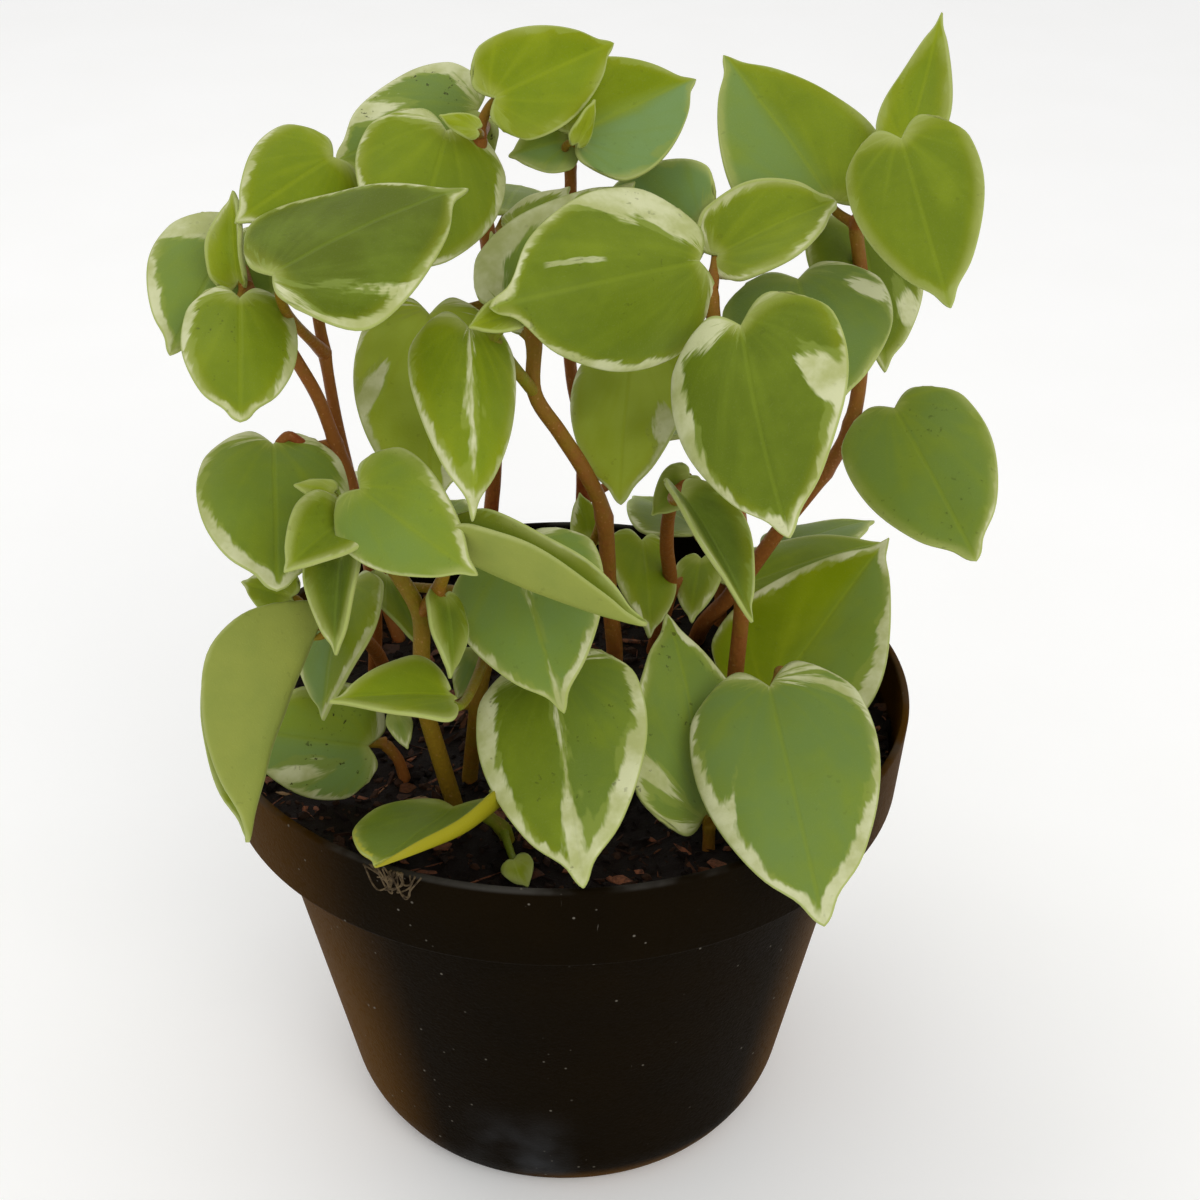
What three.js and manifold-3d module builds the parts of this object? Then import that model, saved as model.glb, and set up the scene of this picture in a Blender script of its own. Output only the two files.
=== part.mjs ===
// A potted peperomia: heart-shaped waxy leaves on forking stems, rooted in a small round nursery pot.
// Units are millimetres, +Z is up, the origin is the centre of the pot's base, and the side seen in
// the photograph faces -Y. Every leafy stem is one body: its stem, its petioles and its leaves.
import * as THREE from 'three';
import { mergeVertices } from 'three/addons/utils/BufferGeometryUtils.js';
import Module from 'manifold-3d';

const wasm = await Module();
wasm.setup();

// Pot, thin moulded plastic
const RIM_RADIUS = 60;
const POT_HEIGHT = 83.3;
const BAND_HEIGHT = 15.5;
const BAND_LOWER_RADIUS = 58.9;
const BODY_TOP_RADIUS = 53;
const BASE_RADIUS = 40.4;
const CORNER_HEIGHT = 6.6;
const FOOT_RADIUS = 36.3;
const WALL = 1.3;
const FLOOR_THICKNESS = 2.2;
const FOOT_RECESS = 1;
const FOOT_WIDTH = 6;
const PAD_RADIUS = 9;
const POT_SIDES = 36;
const DRAIN_HOLES = 6;
const DRAIN_RADIUS = 3.5;
const DRAIN_CIRCLE = 21;
const NOTCHES = 6;
const NOTCH_WIDTH = 5;

// Soil, filled to a little below the rim
const SOIL_TOP = 74.6;
const SOIL_GAP = 0.35;
const SOIL_SIDES = 24;
const SOIL_RINGS = [0.3, 0.6, 0.88];
const SOIL_RELIEF = 0.7;
const CHIPS = 10;
const CHIP_SIZE = [8, 4.5, 1.6];

// Stems and leaves
const ROOT_DEPTH = 12;
const ROOT_END = SOIL_TOP - ROOT_DEPTH;
const ROOT_TOP = SOIL_TOP + 1;
const HOLE_GAP = 0.6;
const HOLE_DEPTH = ROOT_DEPTH + 0.5;
const HOLE_SIDES = 8;
const STEM_SIDES = 6;
const STEM_STEP = 10;
const PETIOLE_RADIUS = 1.05;
const PETIOLE_SIDES = 4;
const PETIOLE_STEPS = 2;
const PETIOLE_END_RADIUS = 0.3;
const BLADE_THICKNESS = 0.8;
const TIP_HALF_WIDTH = 0.25;
const BLADE_ROWS = [0, 0.2, 0.5, 0.8, 1];
const BLADE_COLUMNS = [-1, -0.52, 0, 0.52, 1];
const SMALL_BLADE_LENGTH = 9;
const SMALL_BLADE_ROWS = [0, 0.3, 0.7, 1];
const SMALL_BLADE_COLUMNS = [-1, 0, 1];
const LOBE = 0.1;
const SCRAP_VOLUME = 3;
const FINEST = 0.2;

const materials = {
  pot: new THREE.MeshStandardMaterial({ color: 0x17130f, roughness: 0.45, metalness: 0 }),
  soil: new THREE.MeshStandardMaterial({ color: 0x1d140f, roughness: 0.95, metalness: 0 }),
  leaf: new THREE.MeshStandardMaterial({ color: 0x7d9c33, roughness: 0.42, metalness: 0 }),
};

// One leaf: where its notch is, which way its midrib points (heading in plan, pitch above the
// horizon, roll about itself), its length and width, and its shape: fold at the midrib, curl of the
// margins and arch along the midrib, in degrees. A low taper gives it a full, round front half.
// The petiole springs from point `spring` of the shoot.
const OPEN = [8, -24, 14];
const TAPER = 1.02;
function leaf(spring, notch, aim, size, shape = OPEN, taper = TAPER) {
  const [heading, pitch, roll] = aim;
  const [length, width] = size;
  const [fold, curl, arch] = shape;
  return { spring, notch, heading, pitch, roll, length, width, fold, curl, arch, taper };
}

// A shoot is a stem or a side branch: its radius at the foot and at the top, the points that it
// grows through, and its leaves. A first point at SOIL_TOP has a root below it.
function shoot(radii, points, leaves) {
  return { radii, points, leaves };
}

const plants = {
  stem_front_left: [
    shoot([2, 1.6], [[-18, -26, SOIL_TOP], [-20.5, -28, 88], [-22, -29, 97], [-22, -30, 106],
      [-22, -30, 114], [-25, -30, 121], [-29, -29, 127], [-33, -28, 131]], [
      leaf(7, [-29.5, -33, 137], [-39, -17, 55], [23.5, 17.5]),
      leaf(7, [-32, -31, 131], [-127, -12, -24], [14, 13], [30, -10, 25]),
      leaf(6, [-33, -29, 125], [-93, -41, 26], [17, 11], [28, 5, 15]),
      leaf(7, [-34, -28, 134], [-178, 13, -40], [6, 3.4], [20, 0, 10]),
    ]),
    shoot([1.5, 1.3], [[-22, -30, 114], [-19, -32, 119], [-17, -36, 126]], [
      leaf(2, [-16.5, -40, 130.5], [-18, -14, -11], [31, 17], [66, 8, -16], 0.75),
      leaf(1, [-18, -32, 118], [-84, -40, -42], [13, 8], [12, -20, 20]),
    ]),
  ],
  stem_front_middle: [
    shoot([1.8, 1.4], [[-16, -18, SOIL_TOP], [-14, -22, 92], [-12, -21, 102], [-10, -19, 111],
      [-8, -18, 117]], [
      leaf(4, [-7, -22, 120], [-74, -28, 24], [29, 24.5]),
      leaf(3, [-1.5, -30, 103], [-82, -33, 17], [35.5, 27], OPEN, 0.9),
      leaf(2, [-16, -41, 105.5], [-160, 11, -6], [20, 18], [14, -14, 16], 1.15),
      leaf(1, [-27, -24, 92], [-61, -53, 20], [6, 4]),
      leaf(2, [-14, -16, 98], [-130, -47, -36], [8, 6]),
      leaf(3, [-29, -7, 108], [-62, -30, -18], [15, 8]),
    ]),
  ],
  stem_left: [
    shoot([1.6, 1.3], [[-34, 7, SOIL_TOP], [-32, 0, 100], [-34, -3, 122], [-36, -5, 131],
      [-38, -7, 140], [-41, -9, 148], [-44, -10, 155], [-47, -11, 160]], [
      leaf(7, [-50, 3, 164], [-109, -25, -16], [26.5, 21], OPEN, 0.92),
      leaf(7, [-48, -11, 161], [97, 54, -30], [14, 10], [52, 8, 10]),
      leaf(7, [-47, -18, 161], [-85, -31, -7], [22, 17], [4, -30, 12], 0.7),
      leaf(3, [-45.6, -8, 132.6], [-84, -24, -8], [29, 24], [6, -30, 16], 0.7),
    ]),
    shoot([1.3, 1.2], [[-34, -3, 122], [-36, -2, 134], [-37, -3, 146], [-38, 0, 154],
      [-37, 4, 164], [-36, 6, 171]], [
      leaf(5, [-34.5, 5, 175], [-131, -14, -46], [21, 18.5], [-4, -26, 14]),
      leaf(2, [-40.7, -26, 167.4], [32, 12, 14], [33, 32], [0, -22, 16]),
    ]),
  ],
  stem_left_low: [
    shoot([1.7, 1.4], [[-30, 7, SOIL_TOP], [-32, -4, 92], [-36, -14, 102], [-40, -22, 108]], [
      leaf(3, [-38, -30, 111.5], [-107, -33, 70], [35.5, 30], [62, 14, 12], 0.93),
      leaf(3, [-43, -19, 111], [158, 6, -55], [9, 8]),
      leaf(2, [-35, -11, 108], [-98, -31, 33], [24, 18], [10, -18, 12]),
    ]),
  ],
  leaf_low_left: [
    shoot([1.4, 1.2], [[-27, -17, SOIL_TOP], [-28, -17, 78.5], [-30, -17, 81.5]], [
      leaf(2, [-32.5, -19.5, 82.8], [-164, 20, -72], [24, 20], [8, -20, 16], 0.9),
    ]),
  ],
  stem_rim_front: [
    shoot([1.6, 1.3], [[-9, -36, SOIL_TOP], [-10, -36.5, 78], [-13, -36.5, 81]], [
      leaf(2, [-17.5, -37, 82.5], [-115, 13, 17], [25.5, 27], [7, -4, -6]),
      leaf(1, [-8, -45.5, 78.5], [-60, -30, 20], [5, 5]),
    ]),
  ],
  stem_back_left: [
    shoot([1.9, 1.5], [[-14, 43, SOIL_TOP], [-13, 30, 99], [-12, 26, 110], [-11, 20, 128],
      [-11, 15, 147], [-11.5, 11, 161], [-12, 8, 172], [-12, 6, 178]], [
      leaf(7, [-12.7, 19, 178], [185, -18, -38], [24, 25], [6, -26, 14], 0.75),
      leaf(7, [-17, 5, 179], [-109, -42, -32], [25.5, 24.5], [-4, -26, 14], 0.9),
      leaf(7, [-9.5, 5, 184], [31, 14, 52], [22, 17], [10, -20, 12], 0.9),
      leaf(7, [-12, -1, 181], [176, 19, -62], [6, 3.4]),
      leaf(4, [-21, 8, 148], [-89, -42, -2], [32.5, 24.5], [6, -26, 14], 0.68),
      leaf(5, [-9, 22, 160], [84, -8, 10], [25, 20]),
      leaf(3, [-18, 33, 126], [128, -20, -8], [27, 22]),
    ]),
  ],
  stem_back_middle: [
    shoot([1.6, 1.3], [[7, 42, SOIL_TOP], [4, 30, 103], [4, 26, 118], [2, 22, 131],
      [1, 19, 151], [2, 18, 164], [2, 15.5, 171]], [
      leaf(6, [3, 10, 176.5], [31, 14, 36], [23, 23], [12, -10, 12]),
      leaf(6, [3, 5, 177], [33, 62, 85], [7, 3.4]),
      leaf(6, [2, 12, 175.3], [-178, -14, -50], [10, 9.5]),
      leaf(2, [12.4, 14.5, 139], [-97, -37, 17], [29, 21], [8, -24, 14]),
      leaf(4, [8, 29, 148], [62, 2, 6], [27, 21]),
      leaf(1, [15, 40, 110], [80, -16, -12], [25, 20]),
    ]),
  ],
  stem_centre: [
    shoot([2, 1.5], [[9, 9, SOIL_TOP], [9, 2, 88], [8, 0, 100], [7, -4, 117], [4, -6, 126],
      [0, -8, 134], [-4, -10, 142], [-4, -8, 150], [-6, -4, 157]], [
      leaf(8, [-6, 6, 163], [46, 19, 6], [12, 10]),
      leaf(8, [-8, -3, 154], [30, 34, 40], [28, 19]),
      leaf(7, [-8, -2, 153], [107, 45, 4], [13, 7]),
      leaf(3, [5, 5, 108], [105, 37, 1], [9, 6]),
    ]),
    shoot([1.4, 1.2], [[-4, -10, 142], [-7, -14, 148], [-10, -18, 154.5]], [
      leaf(2, [-6, -22, 160.2], [-154, -8, -47], [8, 6], [24, 0, 10]),
      leaf(2, [-13.5, -19, 156.5], [-88, -38, -17], [31.5, 18.5], [-16, -26, 14], 1.14),
    ]),
  ],
  stem_centre_right: [
    shoot([1.9, 1.4], [[17, 24, SOIL_TOP], [19, 12, 94], [18, 6, 106], [18, 1, 115],
      [19, -5, 122]], [
      leaf(4, [19, -14, 126], [-63, -29, -18], [25, 15.5], [14, -8, 14]),
      leaf(4, [21, -3, 124], [-155, -40, -52], [9, 7]),
      leaf(1, [14, 14, 103], [-87, -34, -29], [19, 14]),
      leaf(1, [25, 18, 97], [-101, -25, 13], [14, 9]),
    ]),
  ],
  stem_right: [
    shoot([2, 1.5], [[29, -5, SOIL_TOP], [29.5, -6, 88], [30, -7, 102], [29, -10, 117],
      [26, -12, 135], [24, -12, 150], [23, -10, 159]], [
      leaf(6, [21, -12, 164], [-154, -2, -64], [34.5, 32], [-22, -20, 30], 0.85),
      leaf(6, [24.5, -3, 161.5], [10, 22, 30], [20, 17.5], [26, -18, 14], 0.7),
      leaf(6, [22, 4, 164], [136, -3, -64], [22, 19.5], OPEN, 0.95),
      leaf(5, [26.5, -24, 158.5], [-76, -44, 44], [33, 29.5], [6, -28, 14], 0.91),
    ]),
  ],
  stem_far_right: [
    shoot([2.1, 1.5], [[25, 27, SOIL_TOP], [26, 18, 84], [31, 14, 93], [38, 12, 106],
      [45, 10, 118], [49, 10, 127], [50, 10, 139], [49, 9, 152], [47, 7, 163]], [
      leaf(8, [43, 8, 166.5], [129, 35, -22], [31, 26], [8, -14, 12]),
      leaf(8, [54.5, 7, 176], [65, 50, -9], [22, 11.5], [16, -6, -10], 1.19),
      leaf(8, [50.5, -9, 181.5], [-72, -46, 32], [27, 20], [4, -28, 12], 0.92),
      leaf(7, [49, 16, 159], [-84, -36, -14], [27, 20.5]),
      leaf(7, [37.5, 0, 156.5], [-83, -24, 11], [28, 26.5], [6, -26, 14], 0.92),
      leaf(5, [55, 4, 132.5], [-70, -26, 26], [32, 23.5], [6, -22, 14], 0.8),
      leaf(4, [37, 22, 124], [80, -14, 4], [27, 21]),
      leaf(2, [33.5, 23, 88.5], [25, 3, 1], [30.5, 23], OPEN, 0.94),
    ]),
  ],
  stem_right_low: [
    shoot([1.8, 1.4], [[42, -8, SOIL_TOP], [40, -11, 84], [36, -16, 94]], [
      leaf(2, [33, -26, 97.5], [-83, -22, 13], [43.5, 29.5], [4, -24, 14], 0.85),
      leaf(1, [37, 0, 79], [45, 32, 13], [37, 31], [12, -16, 10], 1.15),
    ]),
  ],
  leaf_front: [
    shoot([1.4, 1.2], [[23, -38, SOIL_TOP], [23, -38, 77], [23, -38, 79.5]], [
      leaf(2, [22.5, -36.5, 80], [101, 38, 24], [35, 27], [10, -16, 14]),
    ]),
  ],
  stem_back_right: [
    shoot([1.7, 1.4], [[30, 33, SOIL_TOP], [31, 38, 90], [34, 42, 101], [36, 45, 111]], [
      leaf(3, [36, 48, 114], [96, -18, 4], [26, 21]),
      leaf(1, [42, 38, 88], [30, 0, -8], [22, 18]),
      leaf(1, [26, 42, 90], [118, -8, 10], [25, 20]),
    ]),
  ],
  stem_back_low: [
    shoot([1.7, 1.4], [[-31, 29, SOIL_TOP], [-35, 33, 86], [-37, 37, 94]], [
      leaf(2, [-36, 42, 98], [104, -16, -6], [28, 23]),
      leaf(2, [-44, 35, 97], [166, -6, 8], [24, 20]),
      leaf(1, [-28, 42, 88], [70, -6, 6], [25, 20]),
    ]),
  ],
};

// Repeatable random numbers from 0 to 1
function randomFrom(seed) {
  let state = seed;
  return () => {
    state = (state * 1664525 + 1013904223) % 4294967296;
    return state / 4294967296;
  };
}

function toSolid(geometry) {
  const bare = geometry.index ? geometry.toNonIndexed() : geometry.clone();
  bare.deleteAttribute('normal');
  bare.deleteAttribute('uv');
  const merged = mergeVertices(bare, 1e-4);
  const triangles = [];
  const index = merged.index.array;
  for (let i = 0; i < index.length; i += 3) {
    const [a, b, c] = [index[i], index[i + 1], index[i + 2]];
    if (a !== b && b !== c && c !== a) triangles.push(a, b, c);
  }
  const mesh = new wasm.Mesh({
    numProp: 3,
    vertProperties: new Float32Array(merged.attributes.position.array),
    triVerts: new Uint32Array(triangles),
  });
  return new wasm.Manifold(mesh);
}

function toMesh(solid, name, material) {
  const { vertProperties, triVerts } = solid.getMesh();
  const geometry = new THREE.BufferGeometry();
  geometry.setAttribute('position', new THREE.BufferAttribute(new Float32Array(vertProperties), 3));
  geometry.setIndex(new THREE.BufferAttribute(new Uint32Array(triVerts), 1));
  geometry.computeVertexNormals();
  const mesh = new THREE.Mesh(geometry, material);
  mesh.name = name;
  return mesh;
}

function geometryFrom(corners, faces) {
  const geometry = new THREE.BufferGeometry();
  geometry.setAttribute('position', new THREE.Float32BufferAttribute(corners.flat(), 3));
  geometry.setIndex(faces.flat());
  return geometry;
}

// Round tube with its own radius at each step and flat ends
function tube(curve, radiusAt, steps, sides) {
  const frames = curve.computeFrenetFrames(steps, false);
  const corners = [];
  const faces = [];
  for (let i = 0; i <= steps; i++) {
    const centre = curve.getPointAt(i / steps);
    const radius = radiusAt(i / steps);
    for (let j = 0; j < sides; j++) {
      const angle = (2 * Math.PI * j) / sides;
      const out = frames.normals[i].clone().multiplyScalar(Math.cos(angle));
      out.addScaledVector(frames.binormals[i], Math.sin(angle));
      corners.push(centre.clone().addScaledVector(out, radius).toArray());
    }
  }
  const ring = (i, j) => i * sides + (j % sides);
  for (let i = 0; i < steps; i++) {
    for (let j = 0; j < sides; j++) {
      faces.push([ring(i, j), ring(i, j + 1), ring(i + 1, j + 1)]);
      faces.push([ring(i, j), ring(i + 1, j + 1), ring(i + 1, j)]);
    }
  }
  for (let j = 1; j < sides - 1; j++) {
    faces.push([ring(0, 0), ring(0, j + 1), ring(0, j)]);
    faces.push([ring(steps, 0), ring(steps, j), ring(steps, j + 1)]);
  }
  return geometryFrom(corners, faces);
}

// Half width of a heart-shaped blade, as a share of its greatest half width
function bladeHalfWidth(s, taper) {
  const flare = 0.45;
  const base = 0.12;
  const widest = (flare - taper * base) / (taper + flare);
  const shape = (at) => (1 - at) ** taper * (at + base) ** flare;
  return shape(s) / shape(widest);
}

// A point of the blade's middle surface: s runs from the notch to the tip, t from margin to margin
function bladePoint(blade, s, t) {
  const halfWidth = blade.width / 2;
  const across = Math.abs(t) * (halfWidth * bladeHalfWidth(s, blade.taper) + TIP_HALF_WIDTH);
  const fold = THREE.MathUtils.degToRad(blade.fold);
  const bend = THREE.MathUtils.degToRad(blade.curl) / halfWidth;
  const edge = fold + bend * across;
  const flat = Math.abs(bend) < 1e-6;
  const out = flat ? across * Math.cos(fold) : (Math.sin(edge) - Math.sin(fold)) / bend;
  const rise = flat ? across * Math.sin(fold) : (Math.cos(fold) - Math.cos(edge)) / bend;
  const arch = THREE.MathUtils.degToRad(blade.arch);
  const archRadius = blade.length / (2 * Math.sin(arch / 2));
  const turn = arch * (s - 0.5);
  const lobe = LOBE * blade.length * Math.max(0, 1 - s / 0.4) ** 2 * Math.sin(0.8 * Math.PI * Math.abs(t));
  const along = blade.length / 2 + archRadius * Math.sin(turn) - lobe * Math.cos(turn);
  const lift = archRadius * (Math.cos(turn) - Math.cos(arch / 2)) + lobe * Math.sin(turn);
  return new THREE.Vector3(
    along + rise * Math.sin(turn),
    Math.sign(t) * out,
    lift + rise * Math.cos(turn),
  );
}

function bladeMatrix(blade) {
  const heading = THREE.MathUtils.degToRad(blade.heading);
  const pitch = THREE.MathUtils.degToRad(blade.pitch);
  const roll = THREE.MathUtils.degToRad(blade.roll);
  const euler = new THREE.Euler(roll, -pitch, heading, 'ZYX');
  const matrix = new THREE.Matrix4().makeRotationFromEuler(euler);
  return matrix.setPosition(...blade.notch);
}

function bladeGeometry(blade) {
  const small = blade.length < SMALL_BLADE_LENGTH;
  const rows = small ? SMALL_BLADE_ROWS : BLADE_ROWS;
  const columns = small ? SMALL_BLADE_COLUMNS : BLADE_COLUMNS;
  const matrix = bladeMatrix(blade);
  const upper = [];
  const lower = [];
  const step = 0.01;
  for (const s of rows) {
    for (const t of columns) {
      const centre = bladePoint(blade, s, t);
      const alongS = bladePoint(blade, Math.min(s + step, 1), t)
        .sub(bladePoint(blade, Math.max(s - step, 0), t));
      const alongT = t === 0
        ? new THREE.Vector3(0, 1, 0)
        : bladePoint(blade, s, Math.min(t + step, 1)).sub(bladePoint(blade, s, Math.max(t - step, -1)));
      const normal = alongS.cross(alongT).normalize();
      const half = BLADE_THICKNESS / 2;
      upper.push(centre.clone().addScaledVector(normal, half).applyMatrix4(matrix).toArray());
      lower.push(centre.clone().addScaledVector(normal, -half).applyMatrix4(matrix).toArray());
    }
  }
  const faces = [];
  const wide = columns.length;
  const below = upper.length;
  const at = (i, j) => i * wide + j;
  const quad = (a, b, c, d) => faces.push([a, b, c], [a, c, d]);
  for (let i = 0; i < rows.length - 1; i++) {
    for (let j = 0; j < wide - 1; j++) {
      const [a, b, c, d] = [at(i, j), at(i + 1, j), at(i + 1, j + 1), at(i, j + 1)];
      faces.push([a, b, c], [a, c, d]);
      faces.push([a + below, c + below, b + below], [a + below, d + below, c + below]);
    }
    quad(at(i, 0), at(i, 0) + below, at(i + 1, 0) + below, at(i + 1, 0));
    quad(at(i, wide - 1), at(i + 1, wide - 1), at(i + 1, wide - 1) + below, at(i, wide - 1) + below);
  }
  const last = rows.length - 1;
  for (let j = 0; j < wide - 1; j++) {
    quad(at(0, j), at(0, j + 1), at(0, j + 1) + below, at(0, j) + below);
    quad(at(last, j), at(last, j) + below, at(last, j + 1) + below, at(last, j + 1));
  }
  return geometryFrom([...upper, ...lower], faces);
}

// The petiole leaves the stem, swings under the notch and ends inside the blade at its midrib
function petioleGeometry(blade, start) {
  const matrix = bladeMatrix(blade);
  const place = (x, z) => new THREE.Vector3(x, 0, z).applyMatrix4(matrix);
  const inBlade = bladePoint(blade, 0.14, 0);
  const end = place(inBlade.x, inBlade.z);
  const reach = Math.min(0.45 * start.distanceTo(end), 6);
  const before = place(-0.25 * reach, inBlade.z - 0.85 * reach);
  const leave = start.clone().lerp(before, 0.45).add(new THREE.Vector3(0, 0, 0.12 * reach));
  const curve = new THREE.CubicBezierCurve3(start, leave, before, end);
  const radius = PETIOLE_RADIUS * (blade.length < SMALL_BLADE_LENGTH ? 0.8 : 1);
  const radiusAt = (u) => (u < 1 ? radius * (1 - 0.25 * u) : PETIOLE_END_RADIUS);
  return tube(curve, radiusAt, PETIOLE_STEPS, PETIOLE_SIDES);
}

// A root is a plain round peg that stands in its hole in the soil
function rootGeometry([x, y], radius) {
  const root = new THREE.CylinderGeometry(radius, radius, ROOT_TOP - ROOT_END, STEM_SIDES);
  root.rotateX(Math.PI / 2);
  root.translate(x, y, (ROOT_TOP + ROOT_END) / 2);
  return root;
}

function shootSolids(part) {
  const points = part.points.map((p) => new THREE.Vector3(...p));
  const curve = new THREE.CatmullRomCurve3(points, false, 'catmullrom', 0.5);
  const steps = Math.max(2, Math.round(curve.getLength() / STEM_STEP));
  const [foot, top] = part.radii;
  const radiusAt = (u) => foot + (top - foot) * u;
  const pieces = [toSolid(tube(curve, radiusAt, steps, STEM_SIDES))];
  if (part.points[0][2] === SOIL_TOP) pieces.push(toSolid(rootGeometry(part.points[0], foot)));
  for (const blade of part.leaves) {
    pieces.push(toSolid(bladeGeometry(blade)));
    pieces.push(toSolid(petioleGeometry(blade, points[blade.spring])));
  }
  return pieces;
}

// The largest body is the plant; a loose scrap is dropped and a sealed hollow is filled
function plantMesh(name, shoots) {
  const joined = wasm.Manifold.union(shoots.flatMap(shootSolids)).asOriginal().simplify(FINEST);
  const bodies = joined.decompose();
  bodies.sort((a, b) => b.volume() - a.volume());
  const loose = bodies.slice(1).filter((body) => Math.abs(body.volume()) > SCRAP_VOLUME);
  if (loose.length) throw new Error(`${name} has a piece that hangs loose`);
  return toMesh(bodies[0], name, materials.leaf);
}

// The pot's wall as a closed profile, from the centre of the base outwards, up and back inside
function potProfile() {
  const bodyTop = POT_HEIGHT - BAND_HEIGHT;
  const footInner = FOOT_RADIUS - FOOT_WIDTH;
  const cornerMiddle = [FOOT_RADIUS + 0.74 * (BASE_RADIUS - FOOT_RADIUS), 0.3 * CORNER_HEIGHT];
  return [
    [0, 0], [PAD_RADIUS, 0], [PAD_RADIUS + 1, FOOT_RECESS], [footInner - 1, FOOT_RECESS],
    [footInner, 0], [FOOT_RADIUS, 0], cornerMiddle, [BASE_RADIUS, CORNER_HEIGHT],
    [BODY_TOP_RADIUS, bodyTop], [BAND_LOWER_RADIUS, bodyTop], [RIM_RADIUS, POT_HEIGHT - 0.5],
    [RIM_RADIUS - 0.5, POT_HEIGHT], [RIM_RADIUS - WALL, POT_HEIGHT],
    [BAND_LOWER_RADIUS - WALL, bodyTop + WALL], [BODY_TOP_RADIUS - WALL, bodyTop + WALL],
    [BASE_RADIUS - WALL, CORNER_HEIGHT], [FOOT_RADIUS - 1, FLOOR_THICKNESS],
    [0, FLOOR_THICKNESS],
  ].map(([radius, height]) => new THREE.Vector2(radius, height));
}

function potMesh() {
  const shell = new THREE.LatheGeometry(potProfile(), POT_SIDES);
  shell.rotateX(Math.PI / 2);
  let pot = toSolid(shell);
  for (let i = 0; i < DRAIN_HOLES; i++) {
    const angle = (2 * Math.PI * i) / DRAIN_HOLES;
    const hole = new THREE.CylinderGeometry(DRAIN_RADIUS, DRAIN_RADIUS, 10, 12);
    hole.rotateX(Math.PI / 2);
    hole.translate(DRAIN_CIRCLE * Math.cos(angle), DRAIN_CIRCLE * Math.sin(angle), 0);
    pot = pot.subtract(toSolid(hole));
  }
  for (let i = 0; i < NOTCHES; i++) {
    const notch = new THREE.BoxGeometry(FOOT_WIDTH + 1, NOTCH_WIDTH, 2 * FOOT_RECESS);
    notch.translate(FOOT_RADIUS - FOOT_WIDTH / 2 - 0.5, 0, 0);
    notch.rotateZ((2 * Math.PI * (i + 0.5)) / NOTCHES);
    pot = pot.subtract(toSolid(notch));
  }
  return toMesh(pot, 'pot', materials.pot);
}

// The root ball fills the pot and has a lumpy top
function soilSolid() {
  const random = randomFrom(11);
  const bodyTop = POT_HEIGHT - BAND_HEIGHT;
  const inset = WALL + SOIL_GAP;
  const topRadius = BAND_LOWER_RADIUS - inset - 0.3;
  const walls = [
    [topRadius, SOIL_TOP], [topRadius, bodyTop + inset], [BODY_TOP_RADIUS - inset, bodyTop + inset],
    [BASE_RADIUS - inset, CORNER_HEIGHT + 0.3], [FOOT_RADIUS - 1.5, FLOOR_THICKNESS + SOIL_GAP],
  ];
  const corners = [[0, 0, SOIL_TOP]];
  const ringOf = (radius, height, relief) => {
    for (let j = 0; j < SOIL_SIDES; j++) {
      const angle = (2 * Math.PI * j) / SOIL_SIDES;
      const lift = relief * (2 * random() - 1);
      corners.push([radius * Math.cos(angle), radius * Math.sin(angle), height + lift]);
    }
  };
  for (const share of SOIL_RINGS) ringOf(share * topRadius, SOIL_TOP, SOIL_RELIEF);
  for (const [radius, height] of walls) ringOf(radius, height, 0);
  corners.push([0, 0, FLOOR_THICKNESS + SOIL_GAP]);
  const rings = SOIL_RINGS.length + walls.length;
  const at = (i, j) => 1 + i * SOIL_SIDES + (j % SOIL_SIDES);
  const faces = [];
  for (let j = 0; j < SOIL_SIDES; j++) {
    faces.push([0, at(0, j), at(0, j + 1)]);
    faces.push([corners.length - 1, at(rings - 1, j + 1), at(rings - 1, j)]);
    for (let i = 0; i < rings - 1; i++) {
      faces.push([at(i, j), at(i + 1, j), at(i + 1, j + 1)]);
      faces.push([at(i, j), at(i + 1, j + 1), at(i, j + 1)]);
    }
  }
  return toSolid(geometryFrom(corners, faces));
}

const roots = Object.values(plants).map((shoots) => ({
  place: shoots[0].points[0],
  radius: shoots[0].radii[0],
}));

// Bark chips lie flat, half sunk in the soil and clear of the stems
function barkChips() {
  const random = randomFrom(5);
  const chips = [];
  while (chips.length < CHIPS) {
    const radius = 51 * Math.sqrt(random());
    const angle = 2 * Math.PI * random();
    const [x, y] = [radius * Math.cos(angle), radius * Math.sin(angle)];
    const size = 0.6 + 0.6 * random();
    const turn = Math.PI * random();
    const tilt = 0.3 * (random() - 0.5);
    if (roots.some(({ place }) => Math.hypot(place[0] - x, place[1] - y) < 9)) continue;
    const chip = new THREE.BoxGeometry(...CHIP_SIZE.map((side) => side * size));
    chip.rotateX(tilt);
    chip.rotateZ(turn);
    chip.translate(x, y, SOIL_TOP + 0.1);
    chips.push(toSolid(chip));
  }
  return chips;
}

function soilMesh() {
  let soil = wasm.Manifold.union([soilSolid(), ...barkChips()]);
  for (const { place, radius } of roots) {
    const hole = new THREE.CylinderGeometry(
      radius + HOLE_GAP, radius + HOLE_GAP, HOLE_DEPTH + 6, HOLE_SIDES);
    hole.rotateX(Math.PI / 2);
    hole.translate(place[0], place[1], SOIL_TOP - HOLE_DEPTH + (HOLE_DEPTH + 6) / 2);
    soil = soil.subtract(toSolid(hole));
  }
  return toMesh(soil, 'soil', materials.soil);
}

const model = new THREE.Group();
model.add(potMesh(), soilMesh());
for (const [name, shoots] of Object.entries(plants)) model.add(plantMesh(name, shoots));

export default model;
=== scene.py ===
import math
from functools import partialmethod

import bmesh
import bpy
import numpy as np
from mathutils import Matrix, Vector, noise


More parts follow.
